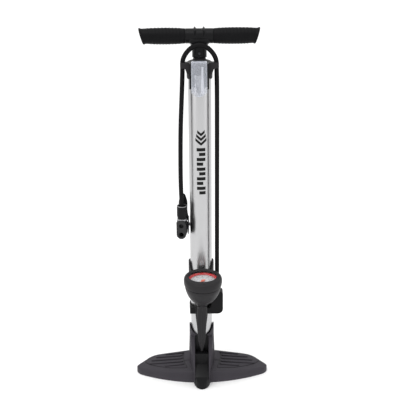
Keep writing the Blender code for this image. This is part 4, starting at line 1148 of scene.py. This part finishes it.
def make_case():
    middle_y = (CASE_FRONT + CASE_BACK) / 2
    shell = slab(case_outline(0.0, CASE_LOW, CASE_HIGH, 0.002), CASE_FRONT, CASE_BACK, 0.0012, along="y")
    hollow = slab(case_outline(CASE_WALL, CASE_LOW + CASE_WALL, CASE_HIGH - CASE_WALL, 0.0015),
                  CASE_FRONT + CASE_WALL, CASE_BACK - CASE_WALL, 0.0008, along="y")
    clear = clear_finish("case_plastic", (0.68, 0.71, 0.78), 0.17, 0.70,
                         ((CASE_LEFT + CASE_RIGHT) / 2, (CASE_LOW + CASE_HIGH) / 2),
                         ((CASE_RIGHT - CASE_LEFT) / 2, (CASE_HIGH - CASE_LOW) / 2), 0.16)
    case = formed("tool_case", [shell], [hollow], sharp=50)
    fitted(case, clear, "case", "clear_plastic", "accessory_case")

    milky = gloss_paint("nozzle_plastic", (0.62, 0.63, 0.68), 0.30)
    nozzle = [(0.0010, 0.5297), (0.0033, 0.5297), (0.0033, 0.5330), (0.0028, 0.5335), (0.0033, 0.5340),
              (0.0033, 0.5365), (0.0028, 0.5370), (0.0031, 0.5400), (0.0026, 0.5480), (0.0017, 0.5660),
              (0.0015, 0.5720), (0.0010, 0.5720)]
    shells_piece("tapered_nozzle", [moved(turned(nozzle, 40, 0.0004, True), None, (0.0045, middle_y, 0))],
                 milky, "case", "clear_plastic", "taper_nozzle")
    needle = [(0.0026, 0.5300), (0.0026, 0.5350), (0.0034, 0.5352), (0.0034, 0.5385), (0.0022, 0.5395),
              (0.0009, 0.5400), (0.0009, 0.5590), (0.0005, 0.5598)]
    shells_piece("inflating_needle", [moved(turned(needle, 40, 0.0003), None, (-0.0070, middle_y, 0))], STEEL,
                 "case", "steel", "ball_needle")


make_case()

# ------------------------------------------------------------------ carried-over parts
KEPT = {"base_screw_left": STEEL, "base_screw_right": STEEL, "base_plug": BLACK, "plug_seal": RUBBER,
        "check_spring": STEEL, "check_valve_disc": RUBBER, "piston_head": BLACK, "piston_seal": RUBBER,
        "piston_nut": STEEL, "stop_bumper": RUBBER, "gauge_socket": BRASS, "bourdon_tube": BRASS,
        "outlet_screw": STEEL, "gasket_pusher": BLACK, "cap_screw_left": STEEL, "cap_screw_right": STEEL,
        "rod_bush": BLACK, "bush_washer": RUBBER, "needle_arbor": STEEL}
for node_name, finish in KEPT.items():
    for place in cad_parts[node_name].material_slots:
        place.material = finish


# ------------------------------------------------------------------ floor and lights
def make_floor():
    paint = Finish("floor_paper", Specular_IOR_Level=0.2)
    cloud = paint.noise(0.5, 3.0)
    paint.set(Base_Color=paint.mix(cloud, (0.94, 0.94, 0.94, 1), (0.96, 0.96, 0.96, 1)),
              Roughness=cloud * 0.1 + 0.7)
    floor = bare("floor", (np.array([(-30, -30, 0), (30, -30, 0), (30, 30, 0), (-30, 30, 0)], float),
                           [[0, 1, 2, 3]]))
    floor.data.materials.append(paint.material)


def soft_light(name, place, size, power, towards=(0, 0, 0.33)):
    data = bpy.data.lights.new(name, "AREA")
    data.shape, data.size, data.size_y, data.energy = "RECTANGLE", size[0], size[1], power
    light = bpy.data.objects.new(name, data)
    light.location = place
    light.rotation_euler = (Vector(towards) - Vector(place)).to_track_quat("-Z", "Y").to_euler()
    bpy.context.scene.collection.objects.link(light)


def set_light():
    world = bpy.data.worlds.new("studio")
    world.use_nodes = True
    world.node_tree.nodes["Background"].inputs["Color"].default_value = (1.0, 1.0, 1.0, 1.0)
    world.node_tree.nodes["Background"].inputs["Strength"].default_value = 0.97
    bpy.context.scene.world = world
    soft_light("top_box", (0.0, -0.2, 2.2), (1.6, 1.6), 6.0)
    soft_light("left_box", (-1.7, -1.3, 1.1), (0.9, 1.6), 4.0)
    soft_light("right_box", (1.8, -1.1, 1.0), (0.9, 1.6), 3.0)
    data = bpy.data.lights.new("wide_sun", "SUN")
    data.energy, data.angle = 0.8, radians(30)
    sun = bpy.data.objects.new("wide_sun", data)
    sun.rotation_euler = (radians(28), 0, radians(-35))
    bpy.context.scene.collection.objects.link(sun)
    bpy.context.scene.view_settings.view_transform = "Standard"


make_floor()
set_light()
